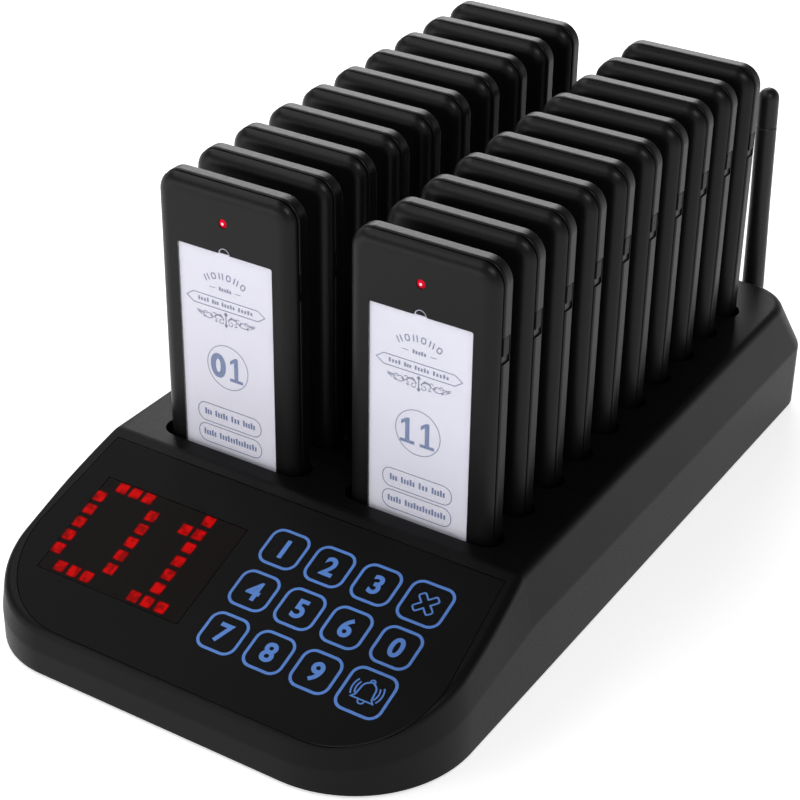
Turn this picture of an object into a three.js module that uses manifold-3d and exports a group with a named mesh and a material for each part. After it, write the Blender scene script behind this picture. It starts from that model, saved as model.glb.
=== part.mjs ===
// Restaurant paging set: a keypad transmitter that charges twenty slim pagers in two rows of slots,
// with a stub antenna behind it. Millimetres, +Z up, +X to the right, +Y to the back.
// The design is laid out with y = 0 at the front face of the first pagers and z = 0 at the table.
// One group shifts it at the end, so that the origin is the middle of the whole set's footprint.

import * as THREE from "three";
import { mergeVertices } from "three/addons/utils/BufferGeometryUtils.js";
import Module from "manifold-3d";

const wasm = await Module();
wasm.setup();

// ---------------------------------------------------------------- driving dimensions
const GAP = 0.3;                  // air kept between two pieces that touch on the real set

const PITCH = 17.12;              // spacing of the slots, front to back
const ROWS = 10;                  // slots in one column
const COLUMN_X = 31.45;           // middle of a column of pagers, from the middle of the base

const PAGER_W = 45.9;             // pager: width, thickness, length
const PAGER_T = 7.25;
const PAGER_L = 105.7;
const PAGER_CORNER = 6.5;         // radius of its corners, seen from the front
const FACE_INSET = 4.4;           // how far the front shell rounds in towards its flat face
const FRONT_EDGE = 0.2;           // the front shell is this much smaller all round
const BACK_ROUND = 0.4;
const BACK_SOFT = 0.9;            // length of the eased front edge of the back shell
const BACK_SOFT_IN = 0.45;
const FRONT_Y = 2.7;              // back edge of the front shell, at the rim
const BACK_Y = 3.5;               // front edge of the back shell
const GROOVE = 1.2;               // depth of the groove between the two
const HOLLOW_Y = 1.8;             // front wall of the space inside
const SHELL = 1.3;                // wall of the back shell

const FOOT_H = 1.2;               // how far the feet hold the base off the table
const FOOT_R = 5;
const BASE_HALF_W = 71.75;
const BASE_FRONT = -72.6;
const BASE_BACK = 186;
const FRONT_CORNER = 36;          // plan radius of the front corners; the left one is squarer
const LEFT_CORNER = 27;
const REAR_CORNER = 12;
const RIM_CORNER = 20;            // the same corner on the deck, before the lean is taken off
const DECK_Z = 39.2;              // flat top that the pagers stand in
const WALL_Z = 22.6;              // where the upright wall turns into the leaning band
const WALL_FALL = 0.2;            // that line falls this much per mm in front of WALL_BEND
const WALL_BEND = -5;
const PANEL_Y = -23.9;            // a point on the keypad panel's plane, at its first row of keys
const PANEL_Z = 33.05;
const PANEL_SLOPE = 0.34;         // radians
const BEND_FRONT = -7.5;          // the panel bends into the deck between these two
const BEND_BACK = -5.5;
const RIM_DECK = 4;             // how far the band leans in, at the deck and at the front
const RIM_FRONT = 1.2;
const RIM_BLEND = 32;             // length over which the lean changes
const RIM_REAR = 1.2;             // added to the lean along the rear part, from REAR_FROM on
const REAR_FROM = 60;
const RIM_ROUND = 2.2;            // soft edge between band and top
const WALL = 2.6;                 // thickness of the housing wall
const COVER_TOP = 3.2;

const SLOT_HALF_W = 25;           // slot: half width, front and back from the pager's front face
const SLOT_FRONT = -1;
const SLOT_BACK = 8.7;
const SLOT_CORNER = 4.8;
const SLOT_WALL = 1.6;
const PAGER_FOOT_Z = 17.35;       // underside of a pager that stands in its slot
const SLOT_FLOOR_Z = PAGER_FOOT_Z - GAP;
const CHAMBER_Z = 15;             // ceiling of the hollow under the slots
const CONTACT_X = 8;              // charging contacts, from the middle of a pager
const CONTACT_Y = 4.65;

const DISPLAY = { x0: -58.3, x1: -9.5, v0: -33.2, v1: 1.5 };  // on the panel: across and up the slope
const OVERLAY_T = 0.8;

const LABEL_W = 31.6;             // card behind the clear window
const LABEL_TOP = 103;
const LABEL_BOTTOM = 27.8;
const NOTCH_R = 2;                // thumb notch over the window
const LED_Z = 112.4;
const LED_R = 1.3;
const SWITCH = { z0: 94, z1: 101.7, y1: 6.9, depth: 0.8, knob: 5.2 };  // recess in the right edge
const STEM = { z0: 98, z1: 100, y0: 4.75, y1: 5.75, travel: 2.2 };
const MOTOR = { y: 3.9, z: 67, r: 1.6, x0: -4, x1: 7 };  // vibration motor, its shaft along x
const pagerScrews = [[-15, 110], [15, 110]];  // x, z

const REAR_Z = 14;                // middle of the power inlet and switch on the back wall
const INLET_X = -46;
const ROCKER_X = -22;
const ROCKER_PIVOT_Y = BASE_BACK - 2;
const ROCKER_TILT = 8;            // degrees either side of level; its lower half stands out at rest

const BOARD_Z = 5;                // underside of the main board
const BOARD_T = 1.6;
const CHARGE_BOARD_Z = 9.4;
const boardPosts = [[-34, 34], [34, 34], [-34, 126], [34, 126]];
const screwSpots = [[-62, -30], [62, -30], [-64, 70], [64, 70], [-60, 172], [60, 172]];
const footSpots = [
  ["front_left", -48, -52], ["front_right", 48, -52], ["rear_left", -56, 160], ["rear_right", 56, 160],
];

const ANTENNA_X = 47;
const ANTENNA_Y = 193.8;
const ANTENNA_Z = 22;             // height of its connector and tilt pin
const ANTENNA_R = 3.7;            // at its foot; it tapers to ANTENNA_TIP_R
const ANTENNA_TIP_R = 3.4;
const ANTENNA_TAPER_Z = 62;
const ANTENNA_TOP = 102.7;
const ANTENNA_LEAN = -1.5;        // degrees about the connector
const EAR_HALF = 3.4;             // half width of the knuckle's fork
const TONGUE_HALF = 1.5;          // half width of the rod's tongue between its ears
const PIN_R = 1;

const ORIGIN_Y = (BASE_FRONT + ANTENNA_Y + ANTENNA_R) / 2;

// ---------------------------------------------------------------- materials
function plastic(color, roughness) {
  return new THREE.MeshStandardMaterial({ color, roughness, metalness: 0 });
}

function metal(color, roughness) {
  return new THREE.MeshStandardMaterial({ color, roughness, metalness: 1 });
}

const housingBlack = plastic(0x151516, 0.5);
const pagerBlack = plastic(0x121213, 0.45);
const overlayBlack = plastic(0x18181a, 0.4);
const smokedRed = plastic(0x120506, 0.15);
const displayRed = plastic(0x3a0806, 0.5);
const boardGreen = plastic(0x14532d, 0.6);
const rubberBlack = plastic(0x0c0c0c, 0.9);
const labelWhite = plastic(0xeeedf6, 0.7);
const ledRed = plastic(0xd0102a, 0.2);
const cellFoil = metal(0xb8bcc4, 0.4);
const steel = metal(0xc4c6c8, 0.35);
const brass = metal(0xc8a24a, 0.35);
const clearWindow = new THREE.MeshStandardMaterial({
  color: 0xffffff, roughness: 0.05, metalness: 0, transparent: true, opacity: 0.3,
});

// ---------------------------------------------------------------- helpers
const set = new THREE.Group();

function addMesh(parent, name, geometry, material) {
  const mesh = new THREE.Mesh(geometry, material);
  mesh.name = name;
  parent.add(mesh);
  return mesh;
}

function at(x, y, z) {
  return new THREE.Matrix4().makeTranslation(x, y, z);
}

function toSolid(geometry, matrix = new THREE.Matrix4()) {
  const plain = geometry.clone().applyMatrix4(matrix);
  plain.deleteAttribute("normal");
  plain.deleteAttribute("uv");
  const merged = mergeVertices(plain, 1e-4);
  return new wasm.Manifold(new wasm.Mesh({
    numProp: 3,
    vertProperties: new Float32Array(merged.attributes.position.array),
    triVerts: new Uint32Array(merged.index.array),
  }));
}

function toGeometry(solid) {
  const mesh = solid.getMesh();
  const geometry = new THREE.BufferGeometry();
  geometry.setAttribute("position", new THREE.BufferAttribute(new Float32Array(mesh.vertProperties), 3));
  geometry.setIndex(new THREE.BufferAttribute(new Uint32Array(mesh.triVerts), 1));
  geometry.computeVertexNormals();
  return geometry;
}

// A box between two corners.
function block(x0, x1, y0, y1, z0, z1) {
  return toSolid(new THREE.BoxGeometry(x1 - x0, y1 - y0, z1 - z0),
    at((x0 + x1) / 2, (y0 + y1) / 2, (z0 + z1) / 2));
}

// A round post or hole along an axis ("x", "y" or "z") from `from` to `to`.
function round(axis, a, b, from, to, radius, sides = 16) {
  const cylinder = new THREE.CylinderGeometry(radius, radius, to - from, sides);
  const middle = (from + to) / 2;
  if (axis === "x") return toSolid(cylinder.rotateZ(Math.PI / 2), at(middle, a, b));
  if (axis === "y") return toSolid(cylinder, at(a, middle, b));
  return toSolid(cylinder.rotateX(Math.PI / 2), at(a, b, middle));
}

function roundedRectangle(halfW, y0, y1, radius) {
  const shape = new THREE.Shape();
  shape.moveTo(-halfW + radius, y0);
  shape.lineTo(halfW - radius, y0);
  shape.absarc(halfW - radius, y0 + radius, radius, -Math.PI / 2, 0);
  shape.lineTo(halfW, y1 - radius);
  shape.absarc(halfW - radius, y1 - radius, radius, 0, Math.PI / 2);
  shape.lineTo(-halfW + radius, y1);
  shape.absarc(-halfW + radius, y1 - radius, radius, Math.PI / 2, Math.PI);
  shape.lineTo(-halfW, y0 + radius);
  shape.absarc(-halfW + radius, y0 + radius, radius, Math.PI, Math.PI * 1.5);
  return shape;
}

// A prism over an outline in the XY plane, from z0 to z1.
function prism(shape, z0, z1, curveSegments = 3) {
  const geometry = new THREE.ExtrudeGeometry(shape, { depth: z1 - z0, bevelEnabled: false, curveSegments });
  return toSolid(geometry, at(0, 0, z0));
}

// A closed mesh through rows of points. Each row is the right half of one outline, listed from end
// to end, and the left half is a mirrored row; the first and last rows are closed by flat rungs.
function mirroredLoft(rows, leftRows = rows) {
  const half = rows[0].length;
  const ring = 2 * half;
  const positions = [];
  rows.forEach((row, r) => {
    for (const p of row) positions.push(p.x, p.y, p.z);
    for (const p of [...leftRows[r]].reverse()) positions.push(-p.x, p.y, p.z);
  });
  const index = [];
  for (let r = 0; r + 1 < rows.length; r += 1) {
    for (let i = 0; i < ring; i += 1) {
      const a = r * ring + i;
      const b = r * ring + ((i + 1) % ring);
      index.push(a, b, b + ring, a, b + ring, a + ring);
    }
  }
  const last = (rows.length - 1) * ring;
  for (let i = 0; i + 1 < half; i += 1) {
    const right = i;
    const left = ring - 1 - i;
    index.push(right, left, left - 1, right, left - 1, right + 1);
    index.push(last + right, last + left - 1, last + left, last + right, last + right + 1, last + left - 1);
  }
  const geometry = new THREE.BufferGeometry();
  geometry.setAttribute("position", new THREE.Float32BufferAttribute(positions, 3));
  geometry.setIndex(index);
  return geometry;
}

function arc(cx, cy, radius, from, to, steps) {
  const points = [];
  for (let i = 0; i <= steps; i += 1) {
    const angle = from + ((to - from) * i) / steps;
    points.push({ x: cx + radius * Math.cos(angle), y: cy + radius * Math.sin(angle),
      nx: -Math.cos(angle), ny: -Math.sin(angle) });
  }
  return points;
}

// ---------------------------------------------------------------- base housing
const panelTan = Math.tan(PANEL_SLOPE);

function panelHeight(y) {
  return PANEL_Z + (y - PANEL_Y) * panelTan;
}

// Height of the top: the sloping panel, a soft bend, then the level deck.
function topHeight(y) {
  if (y <= BEND_FRONT) return panelHeight(y);
  if (y >= BEND_BACK) return DECK_Z;
  const t = (y - BEND_FRONT) / (BEND_BACK - BEND_FRONT);
  const start = panelHeight(BEND_FRONT);
  const meet = start + (BEND_BACK - BEND_FRONT) * panelTan * 0.5;
  return (1 - t) ** 2 * start + 2 * t * (1 - t) * Math.min(meet, DECK_Z) + t ** 2 * DECK_Z;
}

function rimInset(y) {
  const t = THREE.MathUtils.clamp((y + RIM_BLEND) / RIM_BLEND, 0, 1);
  const rear = THREE.MathUtils.smoothstep(y, REAR_FROM, BASE_BACK);
  return RIM_FRONT + (RIM_DECK - RIM_FRONT) * t ** 1.6 + RIM_REAR * rear;
}

// Half of the plan outline, from the front edge round to the back edge, with inward normals.
// Its front corner has the given radius.
function planOutline(inset, corner, frontSteps, rearSteps, sideStops, rearCorner = REAR_CORNER) {
  const front = arc(BASE_HALF_W - corner, BASE_FRONT + corner, corner - inset,
    -Math.PI / 2, 0, frontSteps);
  const side = sideStops.map((y) => ({ x: BASE_HALF_W - inset, y, nx: -1, ny: 0 }));
  const rear = arc(BASE_HALF_W - rearCorner, BASE_BACK - rearCorner, rearCorner - inset,
    0, Math.PI / 2, rearSteps);
  return [...front, ...side, ...rear];
}

function housingRows(corner) {
  const bend = [0, 1 / 3, 2 / 3, 1].map((t) => BEND_FRONT + (BEND_BACK - BEND_FRONT) * t);
  const stops = [-29, -21, -14, ...bend, REAR_FROM, 90, 120, 150];
  const outline = planOutline(0, corner, 8, 6, stops);
  const rim = planOutline(0, corner, 8, 6, stops, RIM_CORNER);
  const bottom = outline.map((p) => new THREE.Vector3(p.x, p.y, FOOT_H));
  const wallHeight = (y) => WALL_Z + WALL_FALL * Math.min(y - WALL_BEND, 0);
  const wallLine = outline.map((p) => new THREE.Vector3(p.x, p.y, wallHeight(p.y)));
  const onTop = (p, inset) => {
    const y = p.y + p.ny * inset;
    return new THREE.Vector3(p.x + p.nx * inset, y, topHeight(y));
  };
  const edge = rim.map((p) => onTop(p, rimInset(p.y)));
  const inner = rim.map((p) => onTop(p, rimInset(p.y) + RIM_ROUND));
  const outer = edge.map((corner, i) => {
    const down = wallLine[i].clone().sub(corner).setLength(RIM_ROUND);
    return corner.clone().add(down);
  });
  const between = (u) => outline.map((p, i) => new THREE.Vector3()
    .addScaledVector(outer[i], (1 - u) ** 2)
    .addScaledVector(edge[i], 2 * u * (1 - u))
    .addScaledVector(inner[i], u ** 2));
  return [bottom, wallLine, outer, between(1 / 3), between(2 / 3), inner];
}

function housingOutside() {
  return toSolid(mirroredLoft(housingRows(FRONT_CORNER), housingRows(LEFT_CORNER)));
}

function insetPrism(inset, z0, z1) {
  const rows = (corner) => {
    const outline = planOutline(inset, corner, 8, 4, []);
    return [z0, z1].map((z) => outline.map((p) => new THREE.Vector3(p.x, p.y, z)));
  };
  return toSolid(mirroredLoft(rows(FRONT_CORNER), rows(LEFT_CORNER)));
}

// Hollow under the keypad panel, with its roof a constant depth below the panel.
function keypadChamber() {
  const depth = 3.2;
  const plan = [[44, -66], [58, -60], [64.5, -46], [64, -8]];
  const row = (height) => plan.map(([x, y]) => new THREE.Vector3(x, y, height(y)));
  return toSolid(mirroredLoft([row(() => CHAMBER_Z - 4), row((y) => panelHeight(y) - depth)]));
}

function slotSpots() {
  const spots = [];
  for (const side of [-1, 1]) {
    for (let k = 0; k < ROWS; k += 1) {
      spots.push({ x: side * COLUMN_X, y: k * PITCH, number: spots.length + 1 });
    }
  }
  return spots;
}

// The panel's own frame: x across, y up the slope, z out of the panel.
function onPanel() {
  return new THREE.Matrix4().makeTranslation(0, PANEL_Y, PANEL_Z)
    .multiply(new THREE.Matrix4().makeRotationX(PANEL_SLOPE));
}

// Outline of the keypad overlay, grown by `grow`: a little wider towards the front,
// with two large rounded front corners.
function overlayShape(grow) {
  const top = 15 + grow;
  const bottom = -49.6 - grow;
  const topHalf = 65.1 + grow;
  const wideHalf = 67.8 + grow;
  const wideV = -19.6;
  const flatHalf = 39.8;
  const shape = new THREE.Shape();
  shape.moveTo(-topHalf, top);
  shape.lineTo(-wideHalf, wideV);
  shape.absellipse(-flatHalf, wideV, wideHalf - flatHalf, wideV - bottom, Math.PI, Math.PI * 1.5);
  shape.lineTo(flatHalf, bottom);
  shape.absellipse(flatHalf, wideV, wideHalf - flatHalf, wideV - bottom, -Math.PI / 2, 0);
  shape.lineTo(topHalf, top);
  shape.closePath();
  return shape;
}

function displayOpening(grow, z0, z1) {
  return block(DISPLAY.x0 - grow, DISPLAY.x1 + grow, DISPLAY.v0 - grow, DISPLAY.v1 + grow, z0, z1)
    .transform(onPanel().elements);
}

function webPockets() {
  const pockets = [];
  const webFront = SLOT_BACK + SLOT_WALL;
  const webBack = PITCH + SLOT_FRONT - SLOT_WALL;
  for (const { x, y, number } of slotSpots()) {
    if (number % ROWS === 0) continue;
    pockets.push(block(x - 21, x + 21, y + webFront, y + webBack, CHAMBER_Z - 1, DECK_Z - WALL));
  }
  const inside = COLUMN_X - SLOT_HALF_W - SLOT_WALL;
  const outside = COLUMN_X + SLOT_HALF_W + SLOT_WALL;
  pockets.push(block(-inside, inside, 2, 160, CHAMBER_Z - 1, DECK_Z - WALL));
  for (const side of [-1, 1]) {
    const xs = [side * outside, side * 64.5].sort((a, b) => a - b);
    pockets.push(block(xs[0], xs[1], 2, 162, CHAMBER_Z - 1, DECK_Z - 5));
  }
  return pockets;
}

function slotCuts() {
  const slot = prism(roundedRectangle(SLOT_HALF_W, SLOT_FRONT, SLOT_BACK, SLOT_CORNER),
    SLOT_FLOOR_Z, DECK_Z + 5);
  const hole = block(-1.3, 1.3, CONTACT_Y - 1.3, CONTACT_Y + 1.3, CHAMBER_Z - 1, SLOT_FLOOR_Z + 1);
  const cuts = [];
  for (const { x, y } of slotSpots()) {
    cuts.push(slot.translate([x, y, 0]));
    for (const side of [-1, 1]) cuts.push(hole.translate([x + side * CONTACT_X, y, 0]));
  }
  return cuts;
}

function rearCuts() {
  const back = BASE_BACK + 2;
  return [
    block(INLET_X - 4.8, INLET_X + 4.8, BASE_BACK - 12, back, REAR_Z - 5.8, REAR_Z + 5.8),
    block(ROCKER_X - 8.3, ROCKER_X + 8.3, BASE_BACK - 12, back, REAR_Z - 5.8, REAR_Z + 5.8),
    round("y", ANTENNA_X, ANTENNA_Z, BASE_BACK - 10, back, 3.5),
    block(ANTENNA_X - 6, ANTENNA_X + 6, BASE_BACK - 14, BASE_BACK - WALL, 12, ANTENNA_Z + 6),
  ];
}

function topHousing() {
  const cuts = [
    insetPrism(WALL, FOOT_H - 1, CHAMBER_Z),
    keypadChamber(),
    prism(overlayShape(GAP), -OVERLAY_T - GAP, 6, 10).transform(onPanel().elements),
    displayOpening(GAP, -12, 2),
    ...webPockets(),
    ...slotCuts(),
    ...rearCuts(),
  ];
  const bosses = screwSpots.map(([x, y]) => round("z", x, y, COVER_TOP + GAP, CHAMBER_Z + 1, 4, 12));
  const pilots = screwSpots.map(([x, y]) => round("z", x, y, COVER_TOP, CHAMBER_Z - 2, 1.5, 12));
  const body = cuts.reduce((solid, cut) => solid.subtract(cut), housingOutside());
  const withBosses = bosses.reduce((solid, boss) => solid.add(boss), body);
  return pilots.reduce((solid, pilot) => solid.subtract(pilot), withBosses);
}

function bottomCover() {
  let plate = insetPrism(WALL + GAP, FOOT_H, COVER_TOP);
  for (const [x, y] of boardPosts) plate = plate.add(round("z", x, y, COVER_TOP - 1, BOARD_Z - GAP, 2.5, 12));
  for (const [, x, y] of footSpots) {
    plate = plate.subtract(round("z", x, y, 0, FOOT_H + 0.6, FOOT_R + GAP, 20));
  }
  for (const [x, y] of screwSpots) {
    plate = plate.subtract(round("z", x, y, 0, FOOT_H + 1.5, 2.6, 12));
    plate = plate.subtract(round("z", x, y, 0, COVER_TOP + 1, 1.4, 12));
  }
  return plate;
}

function coverScrew() {
  return round("z", 0, 0, FOOT_H + 0.1, FOOT_H + 1.2, 2.3, 12).add(round("z", 0, 0, FOOT_H + 1, 11, 1.1, 12));
}

// ---------------------------------------------------------------- electronics in the base
function mainBoard() {
  let board = block(-40, 40, 28, 132, BOARD_Z, BOARD_Z + BOARD_T);
  const parts = [[-20, 60, 14, 14], [10, 70, 10, 10], [-5, 100, 20, 8], [24, 110, 8, 12]];
  for (const [x, y, w, h] of parts) {
    board = board.add(block(x - w / 2, x + w / 2, y - h / 2, y + h / 2, BOARD_Z + 1, BOARD_Z + 3));
  }
  return board;
}

// A long strip under one column, with a pair of contact pins up into each slot.
function chargingBoard() {
  let board = block(-13, 13, -2, 9 * PITCH + 12, CHARGE_BOARD_Z, CHARGE_BOARD_Z + BOARD_T);
  for (let k = 0; k < ROWS; k += 1) {
    for (const side of [-1, 1]) {
      const x = side * CONTACT_X;
      const y = k * PITCH + CONTACT_Y;
      board = board.add(block(x - 0.9, x + 0.9, y - 0.9, y + 0.9, CHARGE_BOARD_Z + 1, SLOT_FLOOR_Z));
    }
  }
  return board;
}

// A small round can with a sound hole in its top.
function buzzer() {
  return round("z", 20, -40, 4.6, 11, 6, 20).subtract(round("z", 20, -40, 9, 12, 1.2, 12));
}

function dcInlet() {
  const body = block(INLET_X - 4.5, INLET_X + 4.5, BASE_BACK - 11, BASE_BACK + 0.4,
    REAR_Z - 5.5, REAR_Z + 5.5);
  const bore = round("y", INLET_X, REAR_Z, BASE_BACK - 9, BASE_BACK + 2, 3.1, 20);
  const pin = round("y", INLET_X, REAR_Z, BASE_BACK - 9.5, BASE_BACK - 0.6, 1, 12);
  return body.subtract(bore).add(pin);
}

function switchHousing() {
  const flange = block(ROCKER_X - 9.6, ROCKER_X + 9.6, BASE_BACK + GAP, BASE_BACK + 1.6,
    REAR_Z - 7, REAR_Z + 7);
  const box = block(ROCKER_X - 8, ROCKER_X + 8, BASE_BACK - 11, BASE_BACK + 1, REAR_Z - 5.5, REAR_Z + 5.5);
  const well = block(ROCKER_X - 6.8, ROCKER_X + 6.8, BASE_BACK - 5, BASE_BACK + 3,
    REAR_Z - 4.6, REAR_Z + 4.6);
  return flange.add(box).subtract(well);
}

// The rocker tips about a line across its middle, just inside the flange.
function rocker() {
  const side = new THREE.Shape();
  side.moveTo(-3.8, 0.2);
  side.lineTo(-1.6, -1.9);
  side.lineTo(1.6, -1.9);
  side.lineTo(3.8, 0.2);
  side.lineTo(3.6, 4.2);
  side.quadraticCurveTo(0, 3, -3.6, 4.2);
  side.closePath();
  const geometry = new THREE.ExtrudeGeometry(side, { depth: 12.8, bevelEnabled: false, curveSegments: 6 });
  const turn = new THREE.Matrix4().makeBasis(
    new THREE.Vector3(0, 0, 1), new THREE.Vector3(0, 1, 0), new THREE.Vector3(-1, 0, 0));
  const tilt = new THREE.Matrix4().makeRotationX(THREE.MathUtils.degToRad(ROCKER_TILT));
  const place = at(ROCKER_X, ROCKER_PIVOT_Y, REAR_Z).multiply(tilt).multiply(at(6.4, 0, 0)).multiply(turn);
  return toSolid(geometry, place);
}

// ---------------------------------------------------------------- antenna
function antennaConnector() {
  const barrel = round("y", ANTENNA_X, ANTENNA_Z, BASE_BACK - 8, BASE_BACK + 1.4, 3.1, 20);
  const nut = round("y", ANTENNA_X, ANTENNA_Z, BASE_BACK + GAP, BASE_BACK + 1.4, 4.4, 6);
  return barrel.add(nut);
}

// The knuckle turns on the connector and carries the tilt pin in a fork.
function antennaKnuckle() {
  const collar = round("y", ANTENNA_X, ANTENNA_Z, BASE_BACK + 1.7, BASE_BACK + 4, 4, 20);
  const fork = block(ANTENNA_X - EAR_HALF, ANTENNA_X + EAR_HALF, BASE_BACK + 3, ANTENNA_Y,
    ANTENNA_Z - 3.2, ANTENNA_Z + 3.2);
  const ends = round("x", ANTENNA_Y, ANTENNA_Z, ANTENNA_X - EAR_HALF, ANTENNA_X + EAR_HALF, 3.2, 20);
  const slit = block(ANTENNA_X - TONGUE_HALF - GAP, ANTENNA_X + TONGUE_HALF + GAP, BASE_BACK + 4.2,
    ANTENNA_Y + 6, ANTENNA_Z - 6, ANTENNA_Z + 6);
  const hole = round("x", ANTENNA_Y, ANTENNA_Z, ANTENNA_X - 6, ANTENNA_X + 6, PIN_R + GAP, 16);
  return collar.add(fork).add(ends).subtract(slit).subtract(hole);
}

function antennaRod() {
  const profile = new THREE.Path();
  const shoulder = ANTENNA_Z + 4.4;
  profile.moveTo(0, shoulder);
  profile.lineTo(ANTENNA_R, shoulder);
  profile.lineTo(ANTENNA_TIP_R, ANTENNA_TAPER_Z);
  profile.lineTo(ANTENNA_TIP_R, ANTENNA_TOP - ANTENNA_TIP_R);
  profile.absarc(0, ANTENNA_TOP - ANTENNA_TIP_R, ANTENNA_TIP_R, 0, Math.PI / 2);
  const lathe = new THREE.LatheGeometry(profile.getPoints(5), 20).rotateX(Math.PI / 2);
  const rod = toSolid(lathe, at(ANTENNA_X, ANTENNA_Y, 0));
  const tongue = block(ANTENNA_X - TONGUE_HALF, ANTENNA_X + TONGUE_HALF, ANTENNA_Y - 2.6, ANTENNA_Y + 2.6,
    ANTENNA_Z, shoulder + 1);
  const eye = round("x", ANTENNA_Y, ANTENNA_Z, ANTENNA_X - TONGUE_HALF, ANTENNA_X + TONGUE_HALF, 2.6, 20);
  const hole = round("x", ANTENNA_Y, ANTENNA_Z, ANTENNA_X - 6, ANTENNA_X + 6, PIN_R + GAP, 16);
  return rod.add(tongue).add(eye).subtract(hole);
}

// ---------------------------------------------------------------- pagers
// Outline of a pager seen from the front, right half from foot to top, inset by `inset`.
function pagerOutline(inset, y) {
  const radius = PAGER_CORNER - inset;
  const cx = PAGER_W / 2 - PAGER_CORNER;
  const low = arc(cx, PAGER_FOOT_Z + PAGER_CORNER, radius, -Math.PI / 2, 0, 4);
  const high = arc(cx, PAGER_FOOT_Z + PAGER_L - PAGER_CORNER, radius, 0, Math.PI / 2, 4);
  return [...low, ...high].map((p) => new THREE.Vector3(p.x, y, p.y));
}

function pagerSolid(rows) {
  const geometry = mirroredLoft(rows.map(([y, inset]) => pagerOutline(inset, y)));
  const flipped = geometry.index.array;
  for (let i = 0; i < flipped.length; i += 3) {
    const kept = flipped[i];
    flipped[i] = flipped[i + 1];
    flipped[i + 1] = kept;
  }
  return toSolid(geometry);
}

// Rows of [y, inset]: a flat face with a wide elliptical rounding, then the rim of the front shell.
const softFront = [90, 67, 45, 22, 0].map((degrees) => {
  const angle = THREE.MathUtils.degToRad(degrees);
  return [FRONT_Y * (1 - Math.sin(angle)), FRONT_EDGE + FACE_INSET * (1 - Math.cos(angle))];
});
const softBack = [
  [BACK_Y, BACK_SOFT_IN],
  [BACK_Y + BACK_SOFT, 0],
  [PAGER_T - BACK_ROUND, 0],
  [PAGER_T, BACK_ROUND],
];

function wholePager() {
  return pagerSolid([...softFront, [FRONT_Y, GROOVE], [BACK_Y, GROOVE], ...softBack]);
}

function windowPocket() {
  const pocket = block(-LABEL_W / 2 - GAP, LABEL_W / 2 + GAP, -1, 1.05, LABEL_BOTTOM - GAP, LABEL_TOP + GAP);
  return pocket.add(round("y", 0, LABEL_TOP, -1, 0.7, NOTCH_R + GAP, 20));
}

function frontShell() {
  let shell = pagerSolid([...softFront, [FRONT_Y, GROOVE], [BACK_Y - GAP, GROOVE]]);
  shell = shell.subtract(pagerSolid([[HOLLOW_Y, 5.2], [BACK_Y + 1, 5.2]]));
  shell = shell.subtract(windowPocket());
  shell = shell.subtract(round("y", 0, LED_Z, -1, 5, LED_R + GAP, 20));
  for (const [x, z] of pagerScrews) {
    shell = shell.add(round("y", x, z, HOLLOW_Y - 0.3, BACK_Y - GAP, 2, 12));
    shell = shell.subtract(round("y", x, z, 1.2, 4, 1, 10));
  }
  return shell;
}

function backShell() {
  const edge = PAGER_W / 2;
  let shell = pagerSolid(softBack);
  shell = shell.subtract(pagerSolid([[BACK_Y - 1, SHELL], [PAGER_T - SHELL, SHELL]]));
  shell = shell.subtract(block(edge - SWITCH.depth, edge + 2, BACK_Y - 1, SWITCH.y1, SWITCH.z0, SWITCH.z1));
  shell = shell.subtract(block(15, 30, STEM.y0 - GAP, STEM.y1 + GAP,
    STEM.z0 - STEM.travel - GAP, STEM.z1 + GAP));
  for (const side of [-1, 1]) {
    const x = side * CONTACT_X;
    shell = shell.subtract(block(x - 2.8, x + 2.8, CONTACT_Y - 1.3, CONTACT_Y + 1.3, 10, PAGER_FOOT_Z + 3));
  }
  for (const [x, z] of pagerScrews) {
    shell = shell.subtract(round("y", x, z, PAGER_T - 0.9, PAGER_T + 1, 1.8, 12));
    shell = shell.subtract(round("y", x, z, PAGER_T - 3, PAGER_T + 1, 1, 10));
  }
  return shell;
}

function pagerScrew() {
  const head = round("y", 0, 0, PAGER_T - 0.6, PAGER_T - 0.1, 1.5, 12);
  return head.add(round("y", 0, 0, 1.6, PAGER_T - 0.4, 0.7, 10));
}

function pagerBoard() {
  let board = block(-19, 19, BACK_Y, BACK_Y + 0.8, 72, 116);
  for (const [x, z] of pagerScrews) board = board.subtract(block(x - 1.8, x + 1.8, 3, 5, z - 1.8, z + 1.8));
  board = board.add(block(-4, 4, 4.1, 5.5, 80, 88)).add(block(-12, -6, 4.1, 5.2, 94, 104));
  return board.add(block(-2, 2, 4.1, 5.1, 100, 106));
}

function vibrationMotor() {
  const can = round("x", MOTOR.y, MOTOR.z, MOTOR.x0, MOTOR.x1, MOTOR.r, 16);
  return can.add(round("x", MOTOR.y, MOTOR.z, MOTOR.x1 - 1, MOTOR.x1 + 4, 0.3, 8));
}

// The weight hangs below its shaft, which is what shakes the pager when the motor turns.
function motorWeight() {
  const disc = round("x", MOTOR.y, MOTOR.z, MOTOR.x1 + 0.6, MOTOR.x1 + 3.6, 1.45, 20);
  const upper = block(MOTOR.x1, MOTOR.x1 + 5, MOTOR.y - 3, MOTOR.y + 3, MOTOR.z + 0.9, MOTOR.z + 4);
  const bore = round("x", MOTOR.y, MOTOR.z, MOTOR.x1, MOTOR.x1 + 5, 0.6, 12);
  return disc.subtract(upper).subtract(bore);
}

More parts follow.
